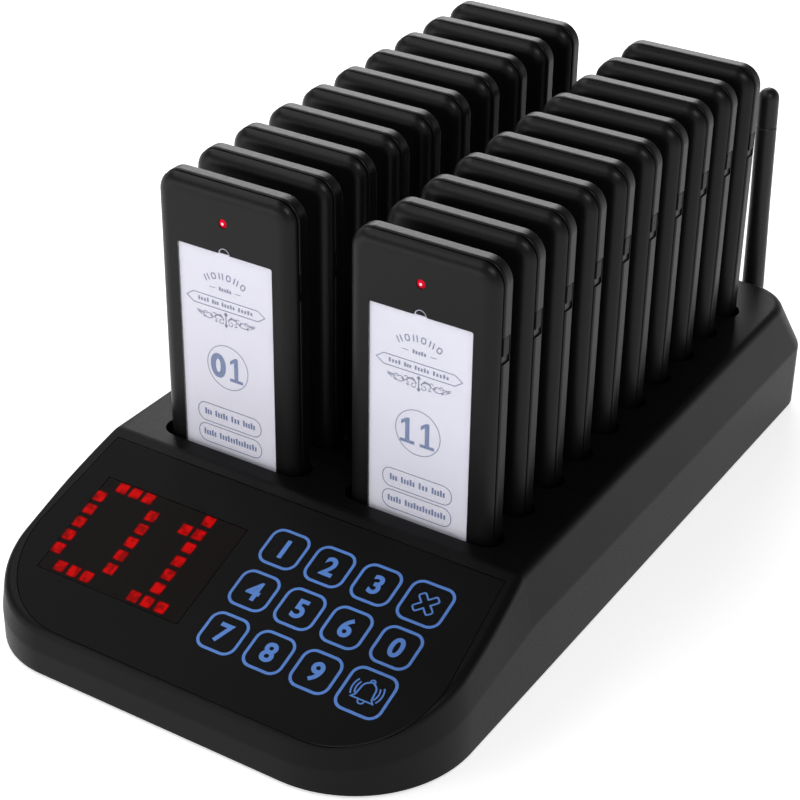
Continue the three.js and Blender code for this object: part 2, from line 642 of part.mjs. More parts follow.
// The knob of the on-off switch, in the right edge of the pager, with a few grip ribs. Its stem
// reaches in through the wall.
function switchKnob() {
  const edge = PAGER_W / 2;
  const top = SWITCH.z1 - GAP;
  const y0 = BACK_Y + GAP;
  const y1 = SWITCH.y1 - GAP;
  let knob = block(edge - SWITCH.depth + GAP, edge - 0.2, y0, y1, top - SWITCH.knob, top);
  knob = knob.add(block(19.6, edge - 0.3, STEM.y0, STEM.y1, STEM.z0, STEM.z1));
  for (let i = 0; i < 4; i += 1) {
    const z = top - 0.7 - i * 1.25;
    knob = knob.add(block(edge - 0.4, edge, y0, y1, z - 0.35, z + 0.35));
  }
  return knob;
}

function chargeContact() {
  return block(-2.5, 2.5, CONTACT_Y - 1, CONTACT_Y + 1, PAGER_FOOT_Z, PAGER_FOOT_Z + 4);
}

function pagerName(number) {
  return `pager_${String(number).padStart(2, "0")}`;
}

// The first pager is built from all its pieces.
function addDetailedPager(parent, name) {
  const add = (piece, solid, material) => addMesh(parent, `${name}_${piece}`, toGeometry(solid), material);
  add("front_shell", frontShell(), pagerBlack);
  add("back_shell", backShell(), pagerBlack);
  add("window", block(-LABEL_W / 2, LABEL_W / 2, 0.05, 0.3, LABEL_BOTTOM, LABEL_TOP), clearWindow);
  add("label_card", block(-LABEL_W / 2, LABEL_W / 2, 0.6, 0.75, LABEL_BOTTOM, LABEL_TOP), labelWhite);
  add("led_lens", round("y", 0, LED_Z, -0.1, 3, LED_R, 20), ledRed);
  add("circuit_board", pagerBoard(), boardGreen);
  add("battery", block(-17, 17, 2.1, 5.6, 24, 62), cellFoil);
  add("vibration_motor", vibrationMotor(), steel);
  add("motor_weight", motorWeight(), steel);
  add("switch", switchKnob(), pagerBlack);
  for (const [side, sign] of [["left", -1], ["right", 1]]) {
    add(`charge_contact_${side}`, chargeContact(), brass).position.x = sign * CONTACT_X;
  }
  pagerScrews.forEach(([x, z], i) => add(`screw_${i + 1}`, pagerScrew(), steel).position.set(x, 0, z));
}

function addPagers() {
  const simple = toGeometry(wholePager());
  for (const { x, y, number } of slotSpots()) {
    const place = new THREE.Group();
    place.position.set(x, y, 0);
    set.add(place);
    if (number === 1) addDetailedPager(place, pagerName(number));
    else addMesh(place, pagerName(number), simple, pagerBlack);
  }
}

// ---------------------------------------------------------------- assembly
function addBase() {
  const add = (name, solid, material) => addMesh(set, name, toGeometry(solid), material);
  add("base_top_housing", topHousing(), housingBlack);
  add("base_bottom_cover", bottomCover(), housingBlack);
  add("main_board", mainBoard(), boardGreen);
  add("charging_board_left", chargingBoard(), boardGreen).position.x = -COLUMN_X;
  add("charging_board_right", chargingBoard(), boardGreen).position.x = COLUMN_X;
  add("dc_inlet", dcInlet(), rubberBlack);
  add("power_switch_housing", switchHousing(), rubberBlack);
  add("power_rocker", rocker(), rubberBlack);
  add("buzzer", buzzer(), rubberBlack);
  for (const [name, x, y] of footSpots) {
    add(`foot_${name}`, round("z", x, y, 0, FOOT_H + 0.3, FOOT_R, 20), rubberBlack);
  }
  screwSpots.forEach(([x, y], i) => add(`cover_screw_${i + 1}`, coverScrew(), steel).position.set(x, y, 0));
}

function addKeypad() {
  const panel = new THREE.Group();
  panel.applyMatrix4(onPanel());
  set.add(panel);
  const add = (name, solid, material) => addMesh(panel, name, toGeometry(solid), material);
  const hole = block(DISPLAY.x0 - GAP, DISPLAY.x1 + GAP, DISPLAY.v0 - GAP, DISPLAY.v1 + GAP, -5, 5);
  add("panel_overlay", prism(overlayShape(0), -OVERLAY_T, 0, 10).subtract(hole), overlayBlack);
  add("display_window", block(DISPLAY.x0, DISPLAY.x1, DISPLAY.v0, DISPLAY.v1, -1.8, 0), smokedRed);
  add("display_module", block(DISPLAY.x0, DISPLAY.x1, DISPLAY.v0, DISPLAY.v1, -8, -2.1), displayRed);
  add("touch_key_board", block(-5, 57, -38, 8, -5, -3.4), boardGreen);
}

// The knuckle and the rod lean a little to the left, turned about the connector.
function addAntenna() {
  addMesh(set, "antenna_connector", toGeometry(antennaConnector()), brass);
  const lean = new THREE.Group();
  const turn = new THREE.Matrix4().makeRotationY(THREE.MathUtils.degToRad(ANTENNA_LEAN));
  lean.applyMatrix4(at(ANTENNA_X, 0, ANTENNA_Z).multiply(turn).multiply(at(-ANTENNA_X, 0, -ANTENNA_Z)));
  set.add(lean);
  const add = (name, solid, material) => addMesh(lean, name, toGeometry(solid), material);
  add("antenna_knuckle", antennaKnuckle(), rubberBlack);
  add("antenna_rod", antennaRod(), rubberBlack);
  add("antenna_hinge_pin",
    round("x", ANTENNA_Y, ANTENNA_Z, ANTENNA_X - EAR_HALF, ANTENNA_X + EAR_HALF, PIN_R, 16), steel);
}

addBase();
addKeypad();
addAntenna();
addPagers();
set.position.y = -ORIGIN_Y;
set.updateMatrixWorld(true);

export default set;
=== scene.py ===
import math

import bmesh
import bpy
from mathutils import Matrix, Vector


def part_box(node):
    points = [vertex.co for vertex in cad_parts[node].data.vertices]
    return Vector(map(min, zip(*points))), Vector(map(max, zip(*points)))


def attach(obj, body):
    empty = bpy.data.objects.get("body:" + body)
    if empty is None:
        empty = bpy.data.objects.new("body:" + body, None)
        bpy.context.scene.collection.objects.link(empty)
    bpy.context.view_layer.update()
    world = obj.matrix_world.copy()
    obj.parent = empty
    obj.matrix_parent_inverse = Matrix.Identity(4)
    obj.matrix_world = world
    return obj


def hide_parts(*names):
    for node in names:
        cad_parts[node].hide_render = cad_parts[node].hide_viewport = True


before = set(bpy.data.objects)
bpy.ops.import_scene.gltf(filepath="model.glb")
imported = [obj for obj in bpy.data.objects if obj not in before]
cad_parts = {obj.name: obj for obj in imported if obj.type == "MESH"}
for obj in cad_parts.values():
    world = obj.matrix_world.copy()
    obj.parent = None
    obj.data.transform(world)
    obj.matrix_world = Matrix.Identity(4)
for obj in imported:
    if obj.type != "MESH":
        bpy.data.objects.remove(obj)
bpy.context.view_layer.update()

# ------------------------------------------------------------------ places, from the frame
# Shapes are drawn in millimetres, with x = 0 in the middle of the base, y = 0 at the front face
# of the first pagers and z = 0 at the table. row() turns such a point into the frame's metres.
MM = 0.001
FIRST_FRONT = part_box("pager_01_front_shell")[0].y


def row(x, y, z):
    return Vector((x * MM, FIRST_FRONT + y * MM, z * MM))


def drawn(corner):
    """A corner of a CAD box, back in the drawing's millimetres."""
    return Vector((corner.x / MM, (corner.y - FIRST_FRONT) / MM, corner.z / MM))


BASE_LOW, BASE_HIGH = (drawn(c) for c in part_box("base_top_housing"))
SHELL_LOW, SHELL_HIGH = (drawn(c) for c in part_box("pager_01_back_shell"))
CARD_LOW, CARD_HIGH = (drawn(c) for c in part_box("pager_01_label_card"))
LED_LOW, LED_HIGH = (drawn(c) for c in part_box("pager_01_led_lens"))
KNOB_LOW, KNOB_HIGH = (drawn(c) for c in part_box("pager_01_switch"))
INLET_LOW, INLET_HIGH = (drawn(c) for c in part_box("dc_inlet"))
ROCKER_LOW, ROCKER_HIGH = (drawn(c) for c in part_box("power_rocker"))
SOCKET_LOW, SOCKET_HIGH = (drawn(c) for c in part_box("antenna_connector"))
PIN_LOW, PIN_HIGH = (drawn(c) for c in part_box("antenna_hinge_pin"))

PAGER_COUNT = 20
ROWS = 10
FIRST_X = (SHELL_LOW.x + SHELL_HIGH.x) / 2
PITCH = drawn(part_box("pager_02")[0]).y
PAGER_HALF_W = (SHELL_HIGH.x - SHELL_LOW.x) / 2
PAGER_FOOT = SHELL_LOW.z
PAGER_TOP = SHELL_HIGH.z
PAGER_T = SHELL_HIGH.y


def pager_spot(number):
    """Middle and front face of a pager: the left column from front to back, then the right one."""
    side = -1 if number <= ROWS else 1
    return side * abs(FIRST_X), ((number - 1) % ROWS) * PITCH


# ------------------------------------------------------------------ driving dimensions, mm
GAP = 0.3
FRONT_CORNER = 36          # plan radius of the base's corners; the front left one is squarer
LEFT_CORNER = 27
REAR_CORNER = 12
RIM_CORNER = 20            # the same corner on the deck, before the lean is taken off
WALL_Z = 22.6              # where the upright wall turns into the leaning band
WALL_FALL = 0.2            # fall of that line for each mm in front of WALL_BEND
WALL_BEND = -5
PANEL_Y = -23.9            # the keypad panel's plane, at its first row of keys
PANEL_Z = 33.05
PANEL_SLOPE = 0.34
BEND_FRONT = -7.5
BEND_BACK = -5.5
RIM_DECK = 4               # how far the band leans in, at the deck and at the front
RIM_FRONT = 1.2
RIM_BLEND = 32
RIM_REAR = 1.2             # added to the lean along the rear part
REAR_FROM = 60
WALL = 2.6
FOOT_ROUND = 0.5           # rounding of the housing's edge at the foot, at the bend and at the rim
BEND_ROUND = 0.7
EDGE_ROUND = 2.2
UNDER_IN = 1.5             # how far the flat underside runs in from the foot
TOP_BORDER = 4.0           # width of the strip of top surface that follows the rim
CHAMBER_Z = 15
SLOT_HALF_W = 25
SLOT_FRONT = -1
SLOT_BACK = 8.7
SLOT_CORNER = 4.8
SLOT_FLOOR = PAGER_FOOT - GAP
SLOT_LIP = 0.35            # rounding of a slot's upper edge
CONTACT_X = 8
CONTACT_Y = 4.65
PAGER_CORNER = 6.5
FACE_INSET = 4.4           # how far the front shell rounds in towards its flat face
RIM_TILT = 14              # degrees of the rounding left out at its rim
RIM_BEVEL_Y = 0.05         # small bevel between the rounding and the rim's back edge
RIM_BEVEL_IN = 0.1
FRONT_WALL = 5.2           # side walls of the front shell and of the back shell
BACK_WALL = 1.3
FRONT_EDGE = 0.2           # the front shell is this much smaller all round
FRONT_Y = 2.7              # back edge of the front shell, at the rim
BACK_Y = 3.5               # front edge of the back shell
GROOVE = 1.2               # depth of the groove between the two
HOLLOW_Y = 1.8             # front wall of the space inside
BACK_ROUND = 0.3
BACK_SOFT = 0.9            # length of the eased front edge of the back shell
BACK_SOFT_IN = 0.45        # how far that edge is set in
ANTENNA_LEAN = -1.5        # degrees about the connector
DISPLAY = (-58.3, -9.5, -33.2, 1.5)    # x from, x to, v from, v to
OVERLAY_T = 0.8
PRINT_T = 0.04             # thickness of printed work, so that it stands clear of its surface
DECK_Z = BASE_HIGH.z
ANTENNA_X, ANTENNA_Z = (SOCKET_LOW.x + SOCKET_HIGH.x) / 2, (SOCKET_LOW.z + SOCKET_HIGH.z) / 2
ANTENNA_Y = (PIN_LOW.y + PIN_HIGH.y) / 2


# ------------------------------------------------------------------ materials
def node_material(name, color, roughness, metallic=0.0):
    """A new material and its shader."""
    material = bpy.data.materials.new(name)
    material.use_nodes = True
    shader = material.node_tree.nodes["Principled BSDF"]
    shader.inputs["Base Color"].default_value = (*color, 1)
    shader.inputs["Roughness"].default_value = roughness
    shader.inputs["Metallic"].default_value = metallic
    return material, shader


def noise(material, scale, detail=3.0):
    """A noise texture in the object's own coordinates."""
    nodes, links = material.node_tree.nodes, material.node_tree.links
    coordinates = nodes.new("ShaderNodeTexCoord")
    texture = nodes.new("ShaderNodeTexNoise")
    texture.inputs["Scale"].default_value = scale
    texture.inputs["Detail"].default_value = detail
    texture.inputs["Roughness"].default_value = 0.55
    links.new(coordinates.outputs["Object"], texture.inputs["Vector"])
    return texture


def spread(material, texture, low, high):
    """The texture's value, mapped to run from low to high."""
    nodes, links = material.node_tree.nodes, material.node_tree.links
    mapped = nodes.new("ShaderNodeMapRange")
    mapped.inputs["From Min"].default_value = 0.3
    mapped.inputs["From Max"].default_value = 0.7
    mapped.inputs["To Min"].default_value = low
    mapped.inputs["To Max"].default_value = high
    links.new(texture.outputs["Fac"], mapped.inputs["Value"])
    return mapped.outputs["Result"]


def ramp_between(tree, source, low, high, start, end):
    """A colour that runs from low to high while source runs from start to end."""
    ramp = tree.nodes.new("ShaderNodeValToRGB")
    first, last = ramp.color_ramp.elements
    first.position, last.position = start, end
    first.color, last.color = (*low, 1), (*high, 1)
    tree.links.new(source, ramp.inputs["Fac"])
    return ramp.outputs["Color"]


def tint(material, shader, texture, dark, light):
    """The base colour runs between two close colours along the texture."""
    tree = material.node_tree
    color = ramp_between(tree, texture.outputs["Fac"], dark, light, 0.3, 0.7)
    tree.links.new(color, shader.inputs["Base Color"])


def bump(material, shader, texture, depth):
    """Relief from the texture, depth in metres."""
    nodes, links = material.node_tree.nodes, material.node_tree.links
    node = nodes.new("ShaderNodeBump")
    node.inputs["Strength"].default_value = 1.0
    node.inputs["Distance"].default_value = depth
    links.new(texture.outputs["Fac"], node.inputs["Height"])
    links.new(node.outputs["Normal"], shader.inputs["Normal"])


def surface(name, color, roughness, metallic=0.0, grain=1800, depth=0.00003, vary=0.12, coat=0.0,
            shine=0.5):
    """A moulded, printed or metal surface: fine grain, slow changes of shade and of gloss."""
    material, shader = node_material(name, color, roughness, metallic)
    shader.inputs["Specular IOR Level"].default_value = shine
    fine = noise(material, grain)
    slow = noise(material, 28, detail=2.0)
    dark = [c * (1 - vary) for c in color]
    light = [min(1.0, c * (1 + vary)) for c in color]
    tint(material, shader, slow, dark, light)
    gloss = spread(material, fine, roughness * 0.88, min(1.0, roughness * 1.12))
    material.node_tree.links.new(gloss, shader.inputs["Roughness"])
    bump(material, shader, fine, depth)
    shader.inputs["Coat Weight"].default_value = coat
    return material


def glowing(name, color, strength):
    """A lit surface of slightly uneven brightness."""
    material, shader = node_material(name, [c * 0.1 for c in color], 0.6)
    shader.inputs["Specular IOR Level"].default_value = 0.05
    shader.inputs["Emission Strength"].default_value = strength
    texture = noise(material, 420, detail=1.0)
    tree = material.node_tree
    dim = [c * 0.42 for c in color]
    lit = ramp_between(tree, texture.outputs["Fac"], dim, color, 0.38, 0.58)
    tree.links.new(lit, shader.inputs["Emission Color"])
    return material


def clear_plastic():
    """Thin clear plastic with a slow change of gloss."""
    material, shader = node_material("clear_window_gloss", (0.95, 0.95, 0.97), 0.06)
    shader.inputs["Alpha"].default_value = 0.1
    slow = noise(material, 60, detail=1.0)
    links = material.node_tree.links
    links.new(spread(material, slow, 0.04, 0.09), shader.inputs["Roughness"])
    return material


BLACK_HOUSING = surface("housing_black_grain", (0.003, 0.003, 0.0032), 0.42, depth=0.00003, shine=0.11)
BLACK_OVERLAY = surface("overlay_black_film", (0.0045, 0.0045, 0.0049), 0.44, grain=2600, depth=0.00002,
                        shine=0.06)
BLACK_PAGER = surface("pager_black_satin", (0.003, 0.003, 0.0032), 0.36, depth=0.00003, shine=0.2)
BLACK_FITTING = surface("fitting_black_satin", (0.006, 0.006, 0.006), 0.42, depth=0.00002, shine=0.3)
BLACK_RUBBER = surface("foot_rubber_matte", (0.010, 0.010, 0.010), 0.85, grain=900, depth=0.00005)
SMOKED = surface("smoked_window_gloss", (0.0065, 0.0040, 0.0040), 0.32, grain=700, depth=0.000004,
                 shine=0.035)
CARD = surface("label_card_white", (0.78, 0.77, 0.88), 0.62, grain=2200, depth=0.000008, vary=0.025)
INK = surface("label_ink_blue", (0.05, 0.115, 0.33), 0.6, grain=2200, depth=0.000005)
INK_LINE = surface("label_ink_line", (0.12, 0.15, 0.30), 0.6, grain=2200, depth=0.000005)
KEY_PRINT = surface("key_print_blue", (0.075, 0.21, 0.60), 0.5, grain=2400, depth=0.00001)
STEEL = surface("steel_brushed", (0.62, 0.63, 0.64), 0.32, 1.0, grain=1500, depth=0.000008)
BRASS = surface("brass_bright", (0.78, 0.58, 0.26), 0.3, 1.0, grain=1500, depth=0.000008)
FOIL = surface("battery_foil_satin", (0.6, 0.62, 0.66), 0.42, 1.0, grain=500, depth=0.00003)
GREEN = surface("board_green_mask", (0.010, 0.105, 0.032), 0.45, grain=700, depth=0.00002, coat=0.3)
DOT_RED = glowing("display_dot_red", (0.52, 0.0005, 0.0008), 1.0)
DOT_DIM = glowing("display_dot_dim", (0.13, 0.0008, 0.0008), 1.0)
LED_RED = glowing("led_red_lit", (0.72, 0.002, 0.02), 1.0)
LED_CORE = glowing("led_core_lit", (1.0, 0.5, 0.6), 1.6)
CLEAR = clear_plastic()


# ------------------------------------------------------------------ shapes, in drawing millimetres
# A shape is (points, faces). Flat work is drawn in (u, v) with h as its height, and a `place`
# function turns (u, v, h) into a point of the frame.
def arc(cu, cv, radius, start, end, steps):
    """Points of an arc, angles in degrees."""
    angles = [math.radians(start + (end - start) * i / steps) for i in range(steps + 1)]
    return [(cu + radius * math.cos(a), cv + radius * math.sin(a)) for a in angles]


def rounded(u0, u1, v0, v1, radius, steps=8):
    """Outline of a rounded rectangle, anticlockwise."""
    return [
        *arc(u1 - radius, v0 + radius, radius, -90, 0, steps),
        *arc(u1 - radius, v1 - radius, radius, 0, 90, steps),
        *arc(u0 + radius, v1 - radius, radius, 90, 180, steps),
        *arc(u0 + radius, v0 + radius, radius, 180, 270, steps),
    ]


def loft(rings):
    """Closed shape through anticlockwise rings of (u, v, h), lowest first, closed by flat ends."""
    count = len(rings[0])
    points = [p for ring in rings for p in ring]
    faces = [tuple(reversed(range(count)))]
    for r in range(len(rings) - 1):
        for i in range(count):
            j = (i + 1) % count
            faces.append((r * count + i, r * count + j, (r + 1) * count + j, (r + 1) * count + i))
    faces.append(tuple(range((len(rings) - 1) * count, len(rings) * count)))
    return points, faces


def inset_outline(outline, amount):
    """An anticlockwise outline moved inwards by amount, along the bisector at each point."""
    moved = []
    count = len(outline)
    for i, (u, v) in enumerate(outline):
        before, after = outline[i - 1], outline[(i + 1) % count]
        du, dv = after[0] - before[0], after[1] - before[1]
        length = math.hypot(du, dv) or 1.0
        moved.append((u - dv / length * amount, v + du / length * amount))
    return moved


def slab(outline, low, high, bevel=0.0):
    """A flat piece from height low to high, with its upper edge softened by bevel."""
    rings = [[(u, v, low) for u, v in outline]]
    if bevel == 0:
        rings.append([(u, v, high) for u, v in outline])
        return loft(rings)
    for i in range(4):
        t = math.radians(30 * i)
        inner = inset_outline(outline, bevel * (1 - math.cos(t)))
        rings.append([(u, v, high - bevel + bevel * math.sin(t)) for u, v in inner])
    return loft(rings)


def box_shape(u0, u1, v0, v1, low, high, bevel=0.0):
    return slab([(u0, v0), (u1, v0), (u1, v1), (u0, v1)], low, high, bevel)


def ribbon(points, width, low, high, closed=False):
    """A flat line of the given width along points."""
    count = len(points)
    left, right = [], []
    for i, (u, v) in enumerate(points):
        before = points[i - 1] if closed or i > 0 else points[i]
        after = points[(i + 1) % count] if closed or i < count - 1 else points[i]
        a = Vector((u - before[0], v - before[1]))
        b = Vector((after[0] - u, after[1] - v))
        a = a.normalized() if a.length > 1e-9 else b.normalized()
        b = b.normalized() if b.length > 1e-9 else a
        direction = (a + b).normalized()
        stretch = 1 / max(0.5, direction.dot(a))
        side = Vector((-direction.y, direction.x)) * (width / 2 * stretch)
        left.append((u + side.x, v + side.y))
        right.append((u - side.x, v - side.y))
    rows = [right, left]
    points3 = [(u, v, low) for line in rows for u, v in line]
    points3 += [(u, v, high) for line in rows for u, v in line]
    faces = []
    for i in range(count if closed else count - 1):
        j = (i + 1) % count
        r0, r1, l0, l1 = i, j, count + i, count + j
        top = 2 * count
        faces += [
            (top + r0, top + r1, top + l1, top + l0),
            (l0, l1, r1, r0),
            (r0, r1, top + r1, top + r0),
            (l1, l0, top + l0, top + l1),
        ]
    if not closed:
        last = count - 1
        top = 2 * count
        faces.append((count, 0, top, top + count))
        faces.append((last, count + last, top + count + last, top + last))
    return points3, faces


def ring_line(outline, width, low, high):
    return ribbon(outline, width, low, high, closed=True)


def joined(shapes):
    """Several shapes as one."""
    points, faces = [], []
    for more, their_faces in shapes:
        offset = len(points)
        points += more
        faces += [tuple(i + offset for i in face) for face in their_faces]
    return points, faces


def turned(shape, function):
    """The shape with each of its points put through function."""
    points, faces = shape
    return [function(*p) for p in points], faces


def shifted(shape, du, dv):
    return turned(shape, lambda u, v, h: (u + du, v + dv, h))


def spun(shape, angle):
    """Flat work turned about its origin."""
    c, s = math.cos(angle), math.sin(angle)
    return turned(shape, lambda u, v, h: (u * c - v * s, u * s + v * c, h))


def lathe(profile, steps=48):
    """A turned piece round the h axis. profile runs from low to high as (radius, h)."""
    rings = []
    for radius, h in profile:
        angles = [2 * math.pi * i / steps for i in range(steps)]
        rings.append([(radius * math.cos(a), radius * math.sin(a), h) for a in angles])
    return loft(rings)


def lettering(text, height, boldness):
    """Digits as a flat shape, centred, with that height in mm."""
    curve = bpy.data.curves.new("digits", "FONT")
    curve.body = text
    curve.size = 1.0
    curve.offset = boldness
    curve.resolution_u = 6
    curve.extrude = 0.01
    holder = bpy.data.objects.new("digits", curve)
    bpy.context.scene.collection.objects.link(holder)
    graph = bpy.context.evaluated_depsgraph_get()
    mesh = bpy.data.meshes.new_from_object(holder.evaluated_get(graph))
    bpy.data.objects.remove(holder)
    spots = [v.co.copy() for v in mesh.vertices]
    faces = [tuple(p.vertices) for p in mesh.polygons]
    bpy.data.meshes.remove(mesh)
    low_u, high_u = min(p.x for p in spots), max(p.x for p in spots)
    low_v, high_v = min(p.y for p in spots), max(p.y for p in spots)
    scale = height / (high_v - low_v)
    middle_u, middle_v = (low_u + high_u) / 2, (low_v + high_v) / 2
    points = [
        ((p.x - middle_u) * scale, (p.y - middle_v) * scale, PRINT_T if p.z > 0 else 0.0)
        for p in spots
    ]
    return points, faces


# ------------------------------------------------------------------ making pieces
def mesh_of(name, shape, place):
    points, faces = shape
    mesh = bpy.data.meshes.new(name)
    mesh.from_pydata([place(*p) for p in points], [], faces)
    mesh.validate()
    mesh.update()
    return mesh


def new_object(name, mesh):
    obj = bpy.data.objects.new(name, mesh)
    bpy.context.scene.collection.objects.link(obj)
    return obj


def solid(name, shape, place):
    return new_object(name, mesh_of(name, shape, place))


def weld(mesh):
    """Joins points that lie together, and turns the faces outwards."""
    distance = 0.000002
    edit = bmesh.new()
    edit.from_mesh(mesh)
    bmesh.ops.remove_doubles(edit, verts=edit.verts, dist=distance)
    bmesh.ops.dissolve_degenerate(edit, edges=edit.edges, dist=distance)
    bmesh.ops.recalc_face_normals(edit, faces=edit.faces)
    edit.to_mesh(mesh)
    edit.free()


def smooth(mesh, angle):
    mesh.shade_smooth()
    mesh.set_sharp_from_angle(angle=math.radians(angle))


def carve(obj, tools, place):
    """Cuts the tools, which are shapes that don't touch each other, out of obj."""
    cutter = solid("cutter", joined(tools), place)
    modifier = obj.modifiers.new("cut", "BOOLEAN")
    modifier.operation = "DIFFERENCE"
    modifier.solver = "EXACT"
    modifier.object = cutter
    graph = bpy.context.evaluated_depsgraph_get()
    mesh = bpy.data.meshes.new_from_object(obj.evaluated_get(graph))
    obj.modifiers.clear()
    old = obj.data
    obj.data = mesh
    bpy.data.meshes.remove(old)
    bpy.data.objects.remove(cutter)


def finish_piece(obj, material, body, replaced=()):
    """Gives a piece its material and body, and hides the CAD nodes that it stands for."""
    obj.data.materials.clear()
    obj.data.materials.append(material)
    modifier = obj.modifiers.new("even_normals", "WEIGHTED_NORMAL")
    modifier.keep_sharp = True
    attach(obj, body)
    if replaced:
        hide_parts(*replaced)


def smooth_mesh(name, shape, place, angle=32):
    mesh = mesh_of(name, shape, place)
    weld(mesh)
    smooth(mesh, angle)
    return mesh


def piece(name, shape, place, material, body, replaced=()):
    finish_piece(new_object(name, smooth_mesh(name, shape, place)), material, body, replaced)


# ------------------------------------------------------------------ base housing
PANEL_TAN = math.tan(PANEL_SLOPE)


def panel_height(y):
    return PANEL_Z + (y - PANEL_Y) * PANEL_TAN


def top_height(y):
    """The sloping panel, a soft bend, then the level deck."""
    if y <= BEND_FRONT:
        return panel_height(y)
    if y >= BEND_BACK:
        return DECK_Z
    t = (y - BEND_FRONT) / (BEND_BACK - BEND_FRONT)
    start = panel_height(BEND_FRONT)
    meet = min(DECK_Z, start + (BEND_BACK - BEND_FRONT) * PANEL_TAN / 2)
    return (1 - t) ** 2 * start + 2 * t * (1 - t) * meet + t * t * DECK_Z


def rim_inset(y):
    """How far the band above the wall leans in at the rim."""
    t = min(1.0, max(0.0, (y + RIM_BLEND) / RIM_BLEND))
    r = min(1.0, max(0.0, (y - REAR_FROM) / (BASE_HIGH.y - REAR_FROM)))
    return RIM_FRONT + (RIM_DECK - RIM_FRONT) * t**1.6 + RIM_REAR * r * r * (3 - 2 * r)


def plan_outline(corner, front_steps, rear_steps, side_stops, rear_corner=REAR_CORNER):
    """Half of the base's outline as (x, y, inward x, inward y), front edge to back edge."""
    half_w = BASE_HIGH.x
    stops = []
    for i in range(front_steps + 1):
        a = math.radians(-90 + 90 * i / front_steps)
        u, v = math.cos(a), math.sin(a)
        stops.append((half_w - corner + corner * u, BASE_LOW.y + corner + corner * v, -u, -v))
    stops += [(half_w, y, -1.0, 0.0) for y in side_stops]
    for i in range(rear_steps + 1):
        a = math.radians(90 * i / rear_steps)
        u, v = math.cos(a), math.sin(a)
        stops.append((half_w - rear_corner + rear_corner * u,
                      BASE_HIGH.y - rear_corner + rear_corner * v, -u, -v))
    return stops


def softened(before, corner, after, radius, steps):
    """Points that round a corner, starting radius before it and ending radius after it."""
    start = corner + (before - corner).normalized() * radius
    end = corner + (after - corner).normalized() * radius
    points = []
    for i in range(steps + 1):
        t = i / steps
        points.append(start * (1 - t) ** 2 + corner * 2 * t * (1 - t) + end * t * t)
    return points


def mirrored_loft(halves, left_halves):
    """Closed shape through half outlines, the left ones mirrored. Its ends are closed by rungs."""
    half = len(halves[0])
    ring = 2 * half
    points = []
    for line, left in zip(halves, left_halves):
        points += [(p.x, p.y, p.z) for p in line]
        points += [(-p.x, p.y, p.z) for p in reversed(left)]
    faces = []
    for r in range(len(halves) - 1):
        for i in range(ring):
            a, b = r * ring + i, r * ring + (i + 1) % ring
            faces.append((a, b, b + ring, a + ring))
    last = (len(halves) - 1) * ring
    for i in range(half - 1):
        j = ring - 1 - i
        faces.append((i, j, j - 1, i + 1))
        faces.append((last + i, last + i + 1, last + j - 1, last + j))
    return points, faces


def top_point(x, y, inward, inset):
    """A point of the top surface, moved inwards by inset."""
    spot = Vector((x, y, 0)) + inward * inset
    return Vector((spot.x, spot.y, top_height(spot.y)))


def housing_half(corner):
    """Lines round half of the housing, from the underside up the wall and over the rim."""
    side = [-33 + 3 * i for i in range(9)]
    side += [BEND_FRONT + (BEND_BACK - BEND_FRONT) * i / 6 for i in range(7)]
    side += [REAR_FROM + 11 * i for i in range(10)]
    lines = []
    walls = plan_outline(corner, 30, 16, side)
    rims = plan_outline(corner, 30, 16, side, RIM_CORNER)
    for (x, y, inward_x, inward_y), (rim_x, rim_y, _, _) in zip(walls, rims):
        inward = Vector((inward_x, inward_y, 0))
        foot = Vector((x, y, BASE_LOW.z))
        under = foot + inward * UNDER_IN
        bend = Vector((x, y, WALL_Z + WALL_FALL * min(y - WALL_BEND, 0.0)))
        edge = top_point(rim_x, rim_y, inward, rim_inset(rim_y))
        inner = top_point(rim_x, rim_y, inward, rim_inset(rim_y) + TOP_BORDER)
        lines.append([under, *softened(under, foot, bend, FOOT_ROUND, 3),
                      *softened(foot, bend, edge, BEND_ROUND, 4),
                      *softened(bend, edge, inner, EDGE_ROUND, 8), inner])
    return [list(line) for line in zip(*lines)]


def housing_shape():
    return mirrored_loft(housing_half(FRONT_CORNER), housing_half(LEFT_CORNER))


def inset_prism(inset, low, high):
    """An upright block with the base's outline, inset all round."""
    right, left = ([(x + u * inset, y + v * inset) for x, y, u, v in plan_outline(corner, 16, 8, [])]
                   for corner in (FRONT_CORNER, LEFT_CORNER))
    return slab(right + [(-x, y) for x, y in reversed(left)], low, high)


def on_panel(x, v, h):
    """A point of the keypad panel: across, up its slope, and out of it."""
    y = PANEL_Y + v * math.cos(PANEL_SLOPE) - h * math.sin(PANEL_SLOPE)
    z = PANEL_Z + v * math.sin(PANEL_SLOPE) + h * math.cos(PANEL_SLOPE)
    return row(x, y, z)


def overlay_outline(grow):
    """A little wider towards the front, with two large rounded front corners."""
    top, bottom = 15 + grow, -49.6 - grow
    top_half, wide_half = 65.1 + grow, 67.8 + grow
    wide_v, flat_half = -19.6, 39.8
    corner = []
    for i in range(25):
        a = math.radians(90 * i / 24)
        corner.append((flat_half + (wide_half - flat_half) * math.sin(a),
                       wide_v - (wide_v - bottom) * math.cos(a)))
    right = [*corner, (top_half, top)]
    return right + [(-x, v) for x, v in reversed(right)]


